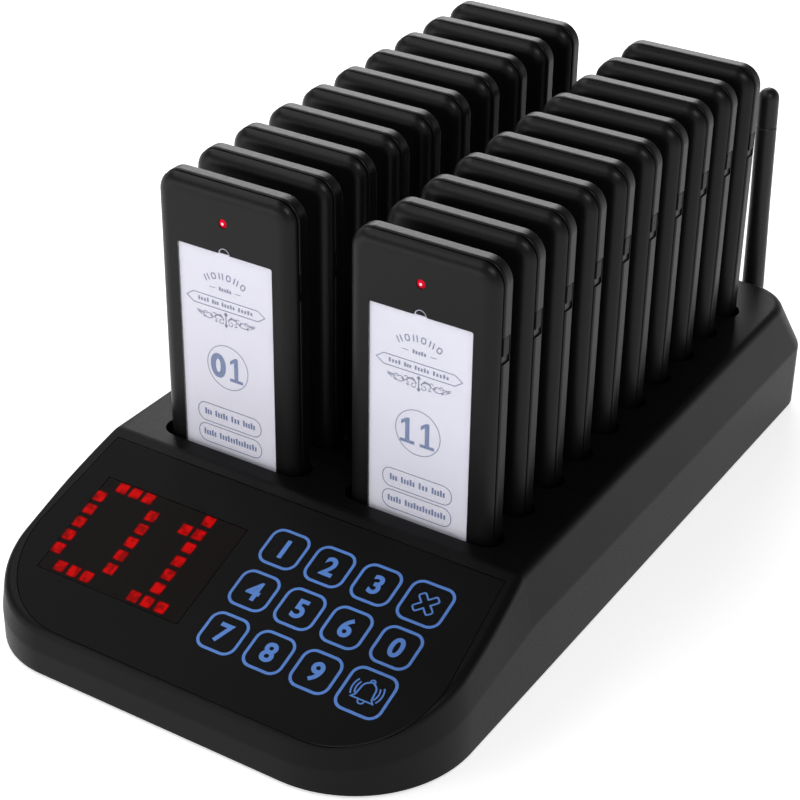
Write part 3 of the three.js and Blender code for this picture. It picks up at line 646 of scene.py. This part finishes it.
def slot_tool(number):
    """Cutter for one slot, flared at the deck so that the slot gets a rounded lip."""
    x, y = pager_spot(number)
    outline = rounded(-SLOT_HALF_W + x, SLOT_HALF_W + x, SLOT_FRONT + y, SLOT_BACK + y,
                      SLOT_CORNER, 10)
    rings = [[(u, v, SLOT_FLOOR) for u, v in outline]]
    for i in range(6):
        a = math.radians(18 * i)
        wide = inset_outline(outline, -SLOT_LIP * (1 - math.cos(a)))
        rings.append([(u, v, DECK_Z - SLOT_LIP + SLOT_LIP * math.sin(a)) for u, v in wide])
    wide = inset_outline(outline, -SLOT_LIP)
    rings.append([(u, v, DECK_Z + 2) for u, v in wide])
    return loft(rings)


def rear_tools():
    """Openings in the back wall for the inlet, the power switch and the antenna's connector."""
    start, end = BASE_HIGH.y - 12, BASE_HIGH.y + 2
    middle_z, half_h, hole_r = (INLET_LOW.z + INLET_HIGH.z) / 2, 5.8, 3.5
    tools = []
    for low, high, half in ((INLET_LOW, INLET_HIGH, 4.8), (ROCKER_LOW, ROCKER_HIGH, 8.3)):
        x = (low.x + high.x) / 2
        tools.append(box_shape(x - half, x + half, start, end, middle_z - half_h, middle_z + half_h))
    hole = lathe([(hole_r, start), (hole_r, end)], 32)
    tools.append(turned(hole, lambda u, v, h: (ANTENNA_X - u, h, ANTENNA_Z + v)))
    return tools


def contact_tools():
    """Square holes in the slots' floors for the charging pins."""
    half = 1.3
    tools = []
    for number in range(1, PAGER_COUNT + 1):
        x, y = pager_spot(number)
        for side in (-1, 1):
            middle = x + side * CONTACT_X
            tools.append(box_shape(middle - half, middle + half, y + CONTACT_Y - half,
                                   y + CONTACT_Y + half, CHAMBER_Z - 1, SLOT_FLOOR + 0.5))
    return tools


def make_base():
    housing = solid("base_housing", housing_shape(), row)
    carve(housing, [inset_prism(WALL, BASE_LOW.z - 1, CHAMBER_Z)], row)
    carve(housing, [slot_tool(n) for n in range(1, PAGER_COUNT + 1)], row)
    carve(housing, contact_tools(), row)
    carve(housing, rear_tools(), row)
    carve(housing, [slab(overlay_outline(GAP / 2), -OVERLAY_T - GAP, 6)], on_panel)
    x0, x1, v0, v1 = DISPLAY
    carve(housing, [box_shape(x0 - GAP, x1 + GAP, v0 - GAP, v1 + GAP, -9, 2)], on_panel)
    weld(housing.data)
    smooth(housing.data, 30)
    finish_piece(housing, BLACK_HOUSING, "base", ["base_top_housing"])


# ------------------------------------------------------------------ keypad and display
KEY_COLUMNS = (4.02, 18.94, 33.86, 49.4)
KEY_ROWS = (0.0, -15.25, -30.5)
KEY_LINE = 0.85
KEY_CORNER = 3.1
MARK_LINE = 0.5
THIN_MARK_LINE = 0.45
DIGIT_H = 6.3
KEY_FACES = (("1", "2", "3", "cross"), ("4", "5", "6", "0"), ("7", "8", "9", "bell"))
KEY_SIZE = {"cross": 13.7, "bell": 14.2}
PLAIN_KEY = 12.5
DOT_PITCH_X = 4.65
DOT_PITCH_V = 5.01
DOT_X = -56.55
DOT_V = -0.52
DOT_SIZE = 3.25
DOT_FADE = 0.3             # width of the dimmer edge round each dot
SECOND_DIGIT = 5.56        # columns from the first digit to the second
ZERO_DOTS = [(c, r) for r in (0, 6) for c in (1, 2, 3)] + [(c, r) for c in (0, 4) for r in range(1, 6)]
ONE_DOTS = [(2, r) for r in range(7)] + [(1, 1), (1, 6), (3, 6)]


def cross_mark():
    """An outlined cross with rounded arm ends."""
    reach, half, end = 3.6, 1.0, 0.5
    quarter = [(half, half), *arc(reach - end, half - end, end, 90, 0, 3),
               *arc(reach - end, -half + end, end, 0, -90, 3)]
    outline = []
    for k in range(4):
        a = math.radians(-90 * k + 45)
        c, s = math.cos(a), math.sin(a)
        outline += [(u * c - v * s, u * s + v * c) for u, v in quarter]
    return [ring_line(list(reversed(outline)), MARK_LINE, 0, PRINT_T)]


def bell_mark():
    """An outlined bell with its clapper, and two sound arcs on each side."""
    left = [(-3.3, -2.4), (-2.5, -1.5), (-2.2, 0.6), *arc(0, 0.9, 2.2, 172, 110, 5), (-0.55, 3.25)]
    right = [(-u, v) for u, v in reversed(left)]
    body = [*left, *right]
    arcs = [arc(0, 3.3, 0.75, 180, 0, 6), arc(0, -2.65, 0.95, 180, 360, 6)]
    for radius in (3.4, 4.5):
        for middle in (0, 180):
            arcs.append(arc(0, 0.6, radius, middle - 32, middle + 32, 8))
    lines = [ring_line(list(reversed(body)), MARK_LINE, 0, PRINT_T)]
    return lines + [ribbon(line, THIN_MARK_LINE, 0, PRINT_T) for line in arcs]


def make_keys():
    """The printed frames and marks of the keys, as one piece."""
    shapes = []
    for v, names in zip(KEY_ROWS, KEY_FACES):
        for x, name in zip(KEY_COLUMNS, names):
            half = KEY_SIZE.get(name, PLAIN_KEY) / 2 - KEY_LINE / 2
            outline = rounded(x - half, x + half, v - half, v + half, KEY_CORNER)
            shapes.append(ring_line(outline, KEY_LINE, 0, PRINT_T))
            if name == "cross":
                marks = cross_mark()
            elif name == "bell":
                marks = bell_mark()
            else:
                marks = [lettering(name, DIGIT_H, 0.03)]
            shapes += [shifted(mark, x, v) for mark in marks]
    lifted = [turned(shape, lambda u, v, h: (u, v, h + 0.01)) for shape in shapes]
    piece("key_print", joined(lifted), on_panel, KEY_PRINT, "base")


def make_overlay():
    overlay = solid("keypad_overlay", slab(overlay_outline(0), -OVERLAY_T, 0, 0.15), on_panel)
    x0, x1, v0, v1 = DISPLAY
    carve(overlay, [box_shape(x0 - GAP / 2, x1 + GAP / 2, v0 - GAP / 2, v1 + GAP / 2, -5, 5)], on_panel)
    weld(overlay.data)
    smooth(overlay.data, 40)
    finish_piece(overlay, BLACK_OVERLAY, "base", ["panel_overlay"])


def make_display():
    x0, x1, v0, v1 = DISPLAY
    window = slab(rounded(x0, x1, v0, v1, 0.4, 3), -1.8, -0.02, 0.12)
    piece("display_smoked_window", window, on_panel, SMOKED, "base", ["display_window"])
    for name, dots, start in (("left", ZERO_DOTS, 0.0), ("right", ONE_DOTS, SECOND_DIGIT)):
        lit, dim = [], []
        layers = ((lit, DOT_SIZE / 2, PRINT_T), (dim, DOT_SIZE / 2 + DOT_FADE, PRINT_T / 2))
        for column, line in dots:
            x = DOT_X + (start + column) * DOT_PITCH_X
            v = DOT_V - line * DOT_PITCH_V
            for shapes, half, h in layers:
                shapes.append(slab(rounded(x - half, x + half, v - half, v + half, 0.5, 3), 0.0, h))
        piece(f"display_digit_{name}", joined(lit), on_panel, DOT_RED, "base")
        piece(f"display_fade_{name}", joined(dim), on_panel, DOT_DIM, "base")


# ------------------------------------------------------------------ pagers
LABEL_X0, LABEL_X1 = CARD_LOW.x - FIRST_X, CARD_HIGH.x - FIRST_X
LABEL_Z0, LABEL_Z1 = CARD_LOW.z, CARD_HIGH.z
LABEL_DEPTH = CARD_LOW.y
LED_Z = (LED_LOW.z + LED_HIGH.z) / 2
LED_R = (LED_HIGH.x - LED_LOW.x) / 2
NOTCH_R = 2.0
CIRCLE = (-0.4, 67.0, 7.0)             # x, z and radius of the ring round the number
FRAME_Z = (50.1, 43.05)                # heights of the two framed lines
CURL_LINE = 0.24
KNOB_Z0, KNOB_Z1 = KNOB_LOW.z, KNOB_HIGH.z
SWITCH_TRAVEL = 2.2
SWITCH_CLEAR = 0.12        # room left below the knob at the end of its travel
SWITCH_Z0, SWITCH_Z1 = KNOB_Z0 - SWITCH_TRAVEL - SWITCH_CLEAR, KNOB_Z1 + GAP
SWITCH_Y1 = KNOB_HIGH.y + GAP
SWITCH_DEPTH = 0.45
STEM_Z0, STEM_Z1 = KNOB_Z1 - 2.3, KNOB_Z1 - 1.0
STEM_Y0, STEM_Y1 = 4.75, 5.75
STEM_IN = 20               # inner end of the stem
RIB_HALF = 0.17


def on_first(u, v, h):
    """Pager shapes are drawn round x = 0 with (u, v, h) = (x, z, -y), as seen from the front."""
    return Vector((u * MM, -h * MM, v * MM))


def pager_ring(y, inset, steps=12):
    """The pager's outline, inset, at depth y."""
    radius = PAGER_CORNER - inset
    outline = rounded(-PAGER_HALF_W + inset, PAGER_HALF_W - inset, PAGER_FOOT + inset, PAGER_TOP - inset,
                      radius, steps)
    return [(u, v, -y) for u, v in outline]


def front_shell_mesh():
    """The groove, the rim and the rounding up to the flat face, with the label's pocket and the notch."""
    rings = [
        pager_ring(BACK_Y - GAP, GROOVE),
        pager_ring(FRONT_Y, GROOVE),
        pager_ring(FRONT_Y, FRONT_EDGE + RIM_BEVEL_IN),
    ]
    steps = 14
    start = math.radians(RIM_TILT)
    for i in range(steps + 1):
        a = start + (math.pi / 2 - start) * i / steps
        back = (1 - math.sin(a)) / (1 - math.sin(start))
        rings.append(pager_ring(FRONT_Y * back - RIM_BEVEL_Y * back**8,
                                FRONT_EDGE + FACE_INSET * (1 - math.cos(a) / math.cos(start))))
    shell = solid("front_shell", loft(rings), on_first)
    space = rounded(-PAGER_HALF_W + FRONT_WALL, PAGER_HALF_W - FRONT_WALL, PAGER_FOOT + FRONT_WALL,
                    PAGER_TOP - FRONT_WALL, 1.3, 3)
    carve(shell, [slab(space, -BACK_Y - 1, -HOLLOW_Y)], on_first)
    pocket = rounded(LABEL_X0 - GAP / 2, LABEL_X1 + GAP / 2, LABEL_Z0 - GAP, LABEL_Z1 + GAP / 2, 0.6, 3)
    carve(shell, [slab(pocket, -LABEL_DEPTH - 0.45, 2)], on_first)
    carve(shell, [slab(arc(0, LABEL_Z1, NOTCH_R, 0, 345, 23), -0.5, 2)], on_first)
    carve(shell, [slab(arc(0, LED_Z, LED_R + 0.1, 0, 345, 23), -2.0, 2)], on_first)
    return tidy_mesh(shell, 30)


def tidy_mesh(obj, angle):
    """The object's mesh, welded and smoothed, without the object."""
    mesh = obj.data
    weld(mesh)
    smooth(mesh, angle)
    bpy.data.objects.remove(obj)
    return mesh


def back_shell_mesh():
    """A tray with eased edges, the switch's recess and slit, contact holes and two screw recesses."""
    rings = []
    for i in range(6):
        a = math.radians(90 * i / 5)
        rings.append(pager_ring(PAGER_T - BACK_ROUND + BACK_ROUND * math.cos(a),
                                BACK_ROUND * (1 - math.sin(a))))
    for i in range(6):
        a = math.radians(18 * i)
        rings.append(pager_ring(BACK_Y + BACK_SOFT * (1 - math.sin(a)), BACK_SOFT_IN * (1 - math.cos(a))))
    shell = solid("back_shell", loft(rings), on_first)
    hollow = [(u, v) for u, v, _ in pager_ring(0, BACK_WALL, 8)]
    carve(shell, [slab(hollow, -PAGER_T + BACK_WALL, 0)], on_first)
    recess = box_shape(PAGER_HALF_W - SWITCH_DEPTH, 30, SWITCH_Z0, SWITCH_Z1, -SWITCH_Y1, -BACK_Y + 1)
    carve(shell, [recess], on_first)
    slit = box_shape(15, 30, STEM_Z0 - SWITCH_TRAVEL - GAP, STEM_Z1 + GAP, -STEM_Y1 - GAP, -STEM_Y0 + GAP)
    carve(shell, [slit], on_first)
    holes = [box_shape(s * CONTACT_X - 2.8, s * CONTACT_X + 2.8, PAGER_FOOT - 3, PAGER_FOOT + 3,
                       -CONTACT_Y - 1.3, -CONTACT_Y + 1.3) for s in (-1, 1)]
    carve(shell, holes, on_first)
    screw_x, screw_z, screw_r = 15, 110, 1.8
    screws = [slab(arc(s * screw_x, screw_z, screw_r, 0, 337.5, 15), -PAGER_T - 1, -PAGER_T + 0.9)
              for s in (-1, 1)]
    carve(shell, screws, on_first)
    return tidy_mesh(shell, 30)


def knob_shape():
    """The switch's knob, with grip ribs on its outer face and a stem that goes in through the wall."""
    face = PAGER_HALF_W - 0.12
    edge = 0.08
    plate = box_shape(KNOB_Z0, KNOB_Z1, KNOB_LOW.y, KNOB_HIGH.y, PAGER_HALF_W - SWITCH_DEPTH + edge,
                      face, edge)
    stem = box_shape(STEM_Z0, STEM_Z1, STEM_Y0, STEM_Y1, STEM_IN, face - 0.1)
    shapes = [plate, stem]
    count = 7
    for i in range(count):
        z = KNOB_Z0 + 0.5 + (KNOB_Z1 - KNOB_Z0 - 1.0) * i / (count - 1)
        shapes.append(box_shape(z - RIB_HALF, z + RIB_HALF, KNOB_LOW.y + 0.15, KNOB_HIGH.y - 0.15,
                                face - 0.05, PAGER_HALF_W - 0.02, edge))
    # drawn as (z, y, x): turned round into (x, z, -y)
    return turned(joined(shapes), lambda z, y, x: (x, z, -y))


def strokes(start, end, v, tall):
    """Greeked print: a row of small upright strokes that stands in for a word."""
    shapes = []
    count = max(2, round((end - start) / 0.95))
    step = (end - start) / count
    for i in range(count):
        u = start + (i + 0.5) * step
        half = tall * (0.5 if i % 3 else 0.66)
        shapes.append(box_shape(u - 0.3, u + 0.3, v - tall / 2, v - tall / 2 + 2 * half, 0, PRINT_T))
    return shapes


def label_lines():
    """The outlines of the card's design, with small marks in place of its title."""
    middle = CIRCLE[0]
    top = PRINT_T
    thin = 0.27
    title_z, title_r = 82.5, 13.3
    ring = ring_line(rounded(-0.62, 0.62, -0.85, 0.85, 0.5, 4), 0.36, 0, top)
    bars = joined([box_shape(-0.75, -0.38, -1.0, 1.0, 0, top), box_shape(0.38, 0.75, -1.0, 1.0, 0, top)])
    shapes = []
    for i in range(6):
        a = math.radians(90 + 27.5 - 11 * i)
        mark = spun(ring if i % 2 else bars, a - math.pi / 2)
        shapes.append(shifted(mark, middle + title_r * math.cos(a), title_z + title_r * math.sin(a)))
    for start, end in ((-5.3, -3.4), (3.4, 5.3)):
        shapes.append(box_shape(middle + start, middle + end, 91.5, 91.7, 0, top))
    shapes += strokes(middle - 2.2, middle + 2.2, 91.6, 0.9)
    tip, shoulder, half = 13.3, 11.0, 1.65
    banner = [(-tip, 0), (-shoulder, -half), (shoulder, -half), (tip, 0), (shoulder, half),
              (-shoulder, half)]
    shapes.append(ring_line([(middle + u, 86.9 + v) for u, v in banner], thin, 0, top))
    for start, end in ((-9.6, -5.6), (-4.7, -2.3), (-1.5, 3.2), (4.1, 9.3)):
        shapes += strokes(middle + start, middle + end, 86.85, 0.95)
    for v in FRAME_Z:
        frame_line = rounded(middle - 11, middle + 11, v - 3.0, v + 3.0, 2.7, 6)
        shapes.append(ring_line(frame_line, thin, 0, top))
    return shapes


def word_bars():
    """Greeked print inside the two rounded frames."""
    lines = (((-8.8, -6.2), (-5.2, -0.6), (0.4, 3.6), (4.6, 9.0)), ((-9.4, -4.9), (-3.9, 9.4)))
    shapes = []
    for v, spans in zip(FRAME_Z, lines):
        for start, end in spans:
            shapes += strokes(start + CIRCLE[0], end + CIRCLE[0], v, 1.5)
    return shapes


def flourish():
    """A plain symmetrical scroll: a stem in the middle, and curls and leaves on each side."""
    lines = []
    for side in (-1, 1):
        for centre, lift, radius, start, end in ((2.6, 0.1, 1.7, 200, -60), (5.6, -0.1, 1.3, 20, 250),
                                                 (8.2, 0.0, 0.9, 160, -80), (1.5, -0.9, 0.9, 90, -200),
                                                 (4.1, 0.9, 0.8, 250, 20), (6.9, 0.7, 0.7, -60, 190)):
            points = []
            for i in range(15):
                t = i / 14
                a = math.radians(start + (end - start) * t)
                r = radius * (1 - 0.45 * t)
                points.append((side * (centre + r * math.cos(a)), lift + r * math.sin(a) * 0.8))
            lines.append(ribbon(points, CURL_LINE, 0, PRINT_T))
        for centre, v in ((1.9, 1.2), (3.4, -1.1), (5.0, 0.2), (7.4, -0.7), (9.3, 0.3)):
            leaf = [(-0.55, -0.1), (0, -0.32), (0.55, 0.1), (0, 0.32)]
            lines.append(slab([(side * (centre + u), v + w) for u, w in leaf][::side], 0, PRINT_T))
        wave = [(side * (0.6 + 9.4 * i / 16), 0.9 * math.sin(2.6 * i / 16 * math.pi)) for i in range(17)]
        lines.append(ribbon(wave, CURL_LINE, 0, PRINT_T))
    lines.append(ribbon([(0, -2.3), (0, 2.4)], 0.34, 0, PRINT_T))
    lines.append(slab([(0, 1.1), (0.7, 1.8), (0, 2.6), (-0.7, 1.8)][::-1], 0, PRINT_T))
    lines.append(slab([(0, -2.4), (0.6, -1.6), (0, -0.9), (-0.6, -1.6)], 0, PRINT_T))
    return [shifted(line, CIRCLE[0], 82.3) for line in lines]


def number_shapes(text):
    """Two digits inside the ring. The 1 has a slab foot and a flag."""
    foot, stem, tall = 2.25, 0.68, 3.95
    one = [(-foot, -tall), (foot, -tall), (foot, -tall + 1.0), (stem, -tall + 1.0), (stem, tall),
           (-0.3, tall), (-2.0, tall - 1.3), (-2.0, tall - 2.5), (-stem, tall - 1.55), (-stem, -tall + 1.0),
           (-foot, -tall + 1.0)]
    shapes = []
    for i, digit in enumerate(text):
        shape = slab(one, 0, PRINT_T) if digit == "1" else lettering(digit, 7.9, 0.04)
        shapes.append(shifted(shape, CIRCLE[0] - 0.2 + (i - 0.5) * 6.2, CIRCLE[1] - 0.1))
    return shapes


def plain_mesh(name, shape):
    return smooth_mesh(name, shape, on_first)


def print_mesh(name, shapes):
    """Printed work on the label card's face."""
    raised = joined([turned(s, lambda u, v, h: (u, v, h - LABEL_DEPTH + 0.01)) for s in shapes])
    return smooth_mesh(name, raised, on_first, 40)


def led_shape():
    """A low dome."""
    profile = [(LED_R, -2.2)]
    for i in range(7):
        a = math.radians(86 * i / 6)
        profile.append((LED_R * math.cos(a), -0.35 + 0.42 * math.sin(a)))
    return shifted(lathe(profile, 32), 0, LED_Z)


REPLACED_IN_FIRST = {
    "front_shell": ["pager_01_front_shell"],
    "back_shell": ["pager_01_back_shell"],
    "label_card": ["pager_01_label_card"],
    "window": ["pager_01_window"],
    "led": ["pager_01_led_lens"],
    "switch_knob": ["pager_01_switch"],
}


def make_pagers():
    """One set of meshes, used by all twenty pagers. Only the number is made for each."""
    front, back = front_shell_mesh(), back_shell_mesh()
    label = rounded(LABEL_X0, LABEL_X1, LABEL_Z0, LABEL_Z1, 0.5, 3)
    card = plain_mesh("label_card", slab(label, -LABEL_DEPTH - 0.3, -LABEL_DEPTH))
    window = plain_mesh("clear_window", slab(label, -0.3, -0.05))
    lip = plain_mesh("notch_lip", ribbon(arc(0, LABEL_Z1, NOTCH_R - 0.25, 8, 172, 14), 0.13, -0.45, -0.1))
    circle = ring_line(arc(*CIRCLE, 0, 354, 59), CURL_LINE, 0, PRINT_T)
    lines = print_mesh("label_lines", [*label_lines(), *flourish(), circle])
    words = print_mesh("label_words", word_bars())
    led = plain_mesh("led_dome", led_shape())
    core = plain_mesh("led_core", shifted(slab(arc(0, 0, 0.42, 0, 330, 11), 0.04, 0.098, 0.04), 0, LED_Z))
    knob = plain_mesh("switch_knob", knob_shape())
    contacts = plain_mesh("contact_pads", joined([
        box_shape(s * CONTACT_X - 2.5, s * CONTACT_X + 2.5, PAGER_FOOT + 0.02, PAGER_FOOT + 4,
                  -CONTACT_Y - 1, -CONTACT_Y + 1, 0.2) for s in (-1, 1)]))
    parts = [
        ("front_shell", front, BLACK_PAGER, "pager_black"),
        ("back_shell", back, BLACK_PAGER, "pager_black"),
        ("label_card", card, CARD, "label_white"),
        ("window", window, CLEAR, "clear_window"),
        ("notch_lip", lip, CARD, "clear_window"),
        ("label_lines", lines, INK_LINE, "label_white"),
        ("label_words", words, INK, "label_white"),
        ("led", led, LED_RED, "led_red"),
        ("led_core", core, LED_CORE, "led_red"),
        ("switch_knob", knob, BLACK_PAGER, "pager_black"),
    ]
    for number in range(1, PAGER_COUNT + 1):
        pager = f"pager_{number:02d}"
        x, y = pager_spot(number)
        digits = print_mesh("label_number", number_shapes(f"{number:02d}"))
        made = [*parts, ("label_number", digits, INK, "label_white")]
        if number > 1:
            made.append(("contact_pads", contacts, BRASS, "brass"))
        for kind, mesh, material, slot in made:
            obj = new_object(f"{kind}_{number:02d}", mesh)
            obj.location = row(x, y, 0)
            body = "pager_01_switch" if number == 1 and kind == "switch_knob" else pager
            if number == 1:
                replaced = REPLACED_IN_FIRST.get(kind, ())
            else:
                replaced = [pager] if kind == "front_shell" else ()
            finish_piece(obj, material, body, replaced)


# ------------------------------------------------------------------ antenna
def leaning(u, v, h):
    """A point beside the connector's axis, turned with the knuckle: across, back and up from it."""
    a = math.radians(ANTENNA_LEAN)
    return row(ANTENNA_X + u * math.cos(a) + h * math.sin(a), ANTENNA_Y + v,
               ANTENNA_Z - u * math.sin(a) + h * math.cos(a))


def across(shape):
    """Flat work stood up, so that its height runs along the tilt pin."""
    return turned(shape, lambda u, v, h: (h, u, v))


def make_antenna():
    """The rod: a slightly tapered sleeve with a fine ring near its top, and a tongue with an eye."""
    foot, tip, top, groove = 3.7, 3.4, 80.7, 0.14
    profile = [(foot - 0.5, 4.4), (foot, 4.9), (tip, 40), (tip, 67.3), (tip - groove, 67.5),
               (tip - groove, 67.9), (tip, 68.1), (tip, top - tip)]
    for i in range(1, 11):
        a = math.radians(88 * i / 10)
        profile.append((tip * math.cos(a), top - tip + tip * math.sin(a)))
    eye = [*arc(0, 0, 2.6, -180, 0, 14), (2.6, 5.4), (-2.6, 5.4)]
    tongue = solid("tongue", across(slab(eye, -1.5, 1.5)), leaning)
    carve(tongue, [across(lathe([(1.3, -3), (1.3, 3)], 32))], leaning)
    spots = [v.co.copy() for v in tongue.data.vertices]
    faces = [tuple(p.vertices) for p in tongue.data.polygons]
    bpy.data.objects.remove(tongue)
    sleeve_points, sleeve_faces = turned(lathe(profile, 64), leaning)
    rod = joined([(sleeve_points, sleeve_faces), (spots, faces)])
    piece("antenna_sleeve", rod, lambda u, v, h: (u, v, h), BLACK_FITTING, "antenna_rod",
          ["antenna_rod"])


# ------------------------------------------------------------------ carried-over CAD nodes
def paint(names, material):
    for name in names:
        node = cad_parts[name]
        node.data.materials.clear()
        node.data.materials.append(material)


def make_finishes():
    paint(["base_bottom_cover"], BLACK_HOUSING)
    paint(["main_board", "charging_board_left", "charging_board_right", "touch_key_board",
           "pager_01_circuit_board"], GREEN)
    paint(["dc_inlet", "power_switch_housing", "power_rocker", "buzzer", "antenna_knuckle"],
          BLACK_FITTING)
    paint([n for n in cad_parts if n.startswith("foot_")], BLACK_RUBBER)
    paint([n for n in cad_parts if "screw" in n], STEEL)
    paint(["antenna_hinge_pin", "pager_01_vibration_motor", "pager_01_motor_weight"], STEEL)
    paint(["antenna_connector", "pager_01_charge_contact_left", "pager_01_charge_contact_right"], BRASS)
    paint(["pager_01_battery"], FOIL)
    paint(["display_module"], SMOKED)


# ------------------------------------------------------------------ stage, light and camera
def make_floor():
    material, shader = node_material("stage_floor", (0.9, 0.9, 0.9), 0.8)
    shader.inputs["Emission Color"].default_value = (1, 1, 1, 1)
    shader.inputs["Emission Strength"].default_value = 0.62
    tint(material, shader, noise(material, 3), (0.89, 0.89, 0.89), (0.91, 0.91, 0.91))
    mesh = bpy.data.meshes.new("floor")
    size = 6.0
    corners = [(-size, -size, 0), (size, -size, 0), (size, size, 0), (-size, size, 0)]
    mesh.from_pydata(corners, [], [(0, 1, 2, 3)])
    floor = new_object("floor", mesh)
    floor.data.materials.append(material)


def softbox(name, place, target, width, height, power):
    light = bpy.data.lights.new(name, "AREA")
    light.shape = "RECTANGLE"
    light.size = width
    light.size_y = height
    light.energy = power
    obj = bpy.data.objects.new(name, light)
    obj.location = place
    obj.rotation_euler = (Vector(target) - Vector(place)).to_track_quat("-Z", "Y").to_euler()
    bpy.context.scene.collection.objects.link(obj)


def make_light():
    """Pale surroundings near the table, dark overhead, and four soft boxes."""
    world = bpy.data.worlds.new("studio")
    bpy.context.scene.world = world
    world.use_nodes = True
    tree = world.node_tree
    coordinates = tree.nodes.new("ShaderNodeTexCoord")
    split = tree.nodes.new("ShaderNodeSeparateXYZ")
    tree.links.new(coordinates.outputs["Generated"], split.inputs["Vector"])
    sky = ramp_between(tree, split.outputs["Z"], (0.9, 0.9, 0.9), (0.08, 0.08, 0.08), 0.05, 0.5)
    tree.links.new(sky, tree.nodes["Background"].inputs["Color"])
    softbox("back_box", (-0.72, 1.17, 0.83), (0, 0.05, 0.06), 0.9, 0.7, 10.5)
    softbox("top_box", (-0.74, -0.30, 1.10), (0, 0, 0.08), 1.7, 0.55, 6.8)
    softbox("left_box", (-0.69, -1.08, 0.30), (0, 0, 0.05), 1.2, 0.35, 2.8)
    softbox("front_box", (0.60, -0.62, 1.05), (0, 0, 0.05), 0.35, 0.35, 4.5)
    bpy.context.scene.view_settings.view_transform = "Standard"


CAMERA_PLACE = (0.27168, -0.45931, 0.35792)    # metres, and then degrees and millimetres
CAMERA_AZIMUTH = 31.794
CAMERA_ELEVATION = 31.129
CAMERA_ROLL = 0.797
CAMERA_LENS = 92.154


def make_camera():
    camera = bpy.data.cameras.new("camera")
    camera.sensor_width = 36
    camera.lens = CAMERA_LENS
    camera.clip_start = 0.01
    obj = bpy.data.objects.new("camera", camera)
    bpy.context.scene.collection.objects.link(obj)
    turn = Matrix.Rotation(math.radians(CAMERA_AZIMUTH), 4, "Z")
    tilt = Matrix.Rotation(math.radians(90 - CAMERA_ELEVATION), 4, "X")
    roll = Matrix.Rotation(math.radians(CAMERA_ROLL), 4, "Z")
    obj.matrix_world = Matrix.Translation(CAMERA_PLACE) @ turn @ tilt @ roll
    bpy.context.scene.camera = obj


make_camera()
make_floor()
make_light()
make_base()
make_overlay()
make_display()
make_keys()
make_pagers()
make_antenna()
make_finishes()
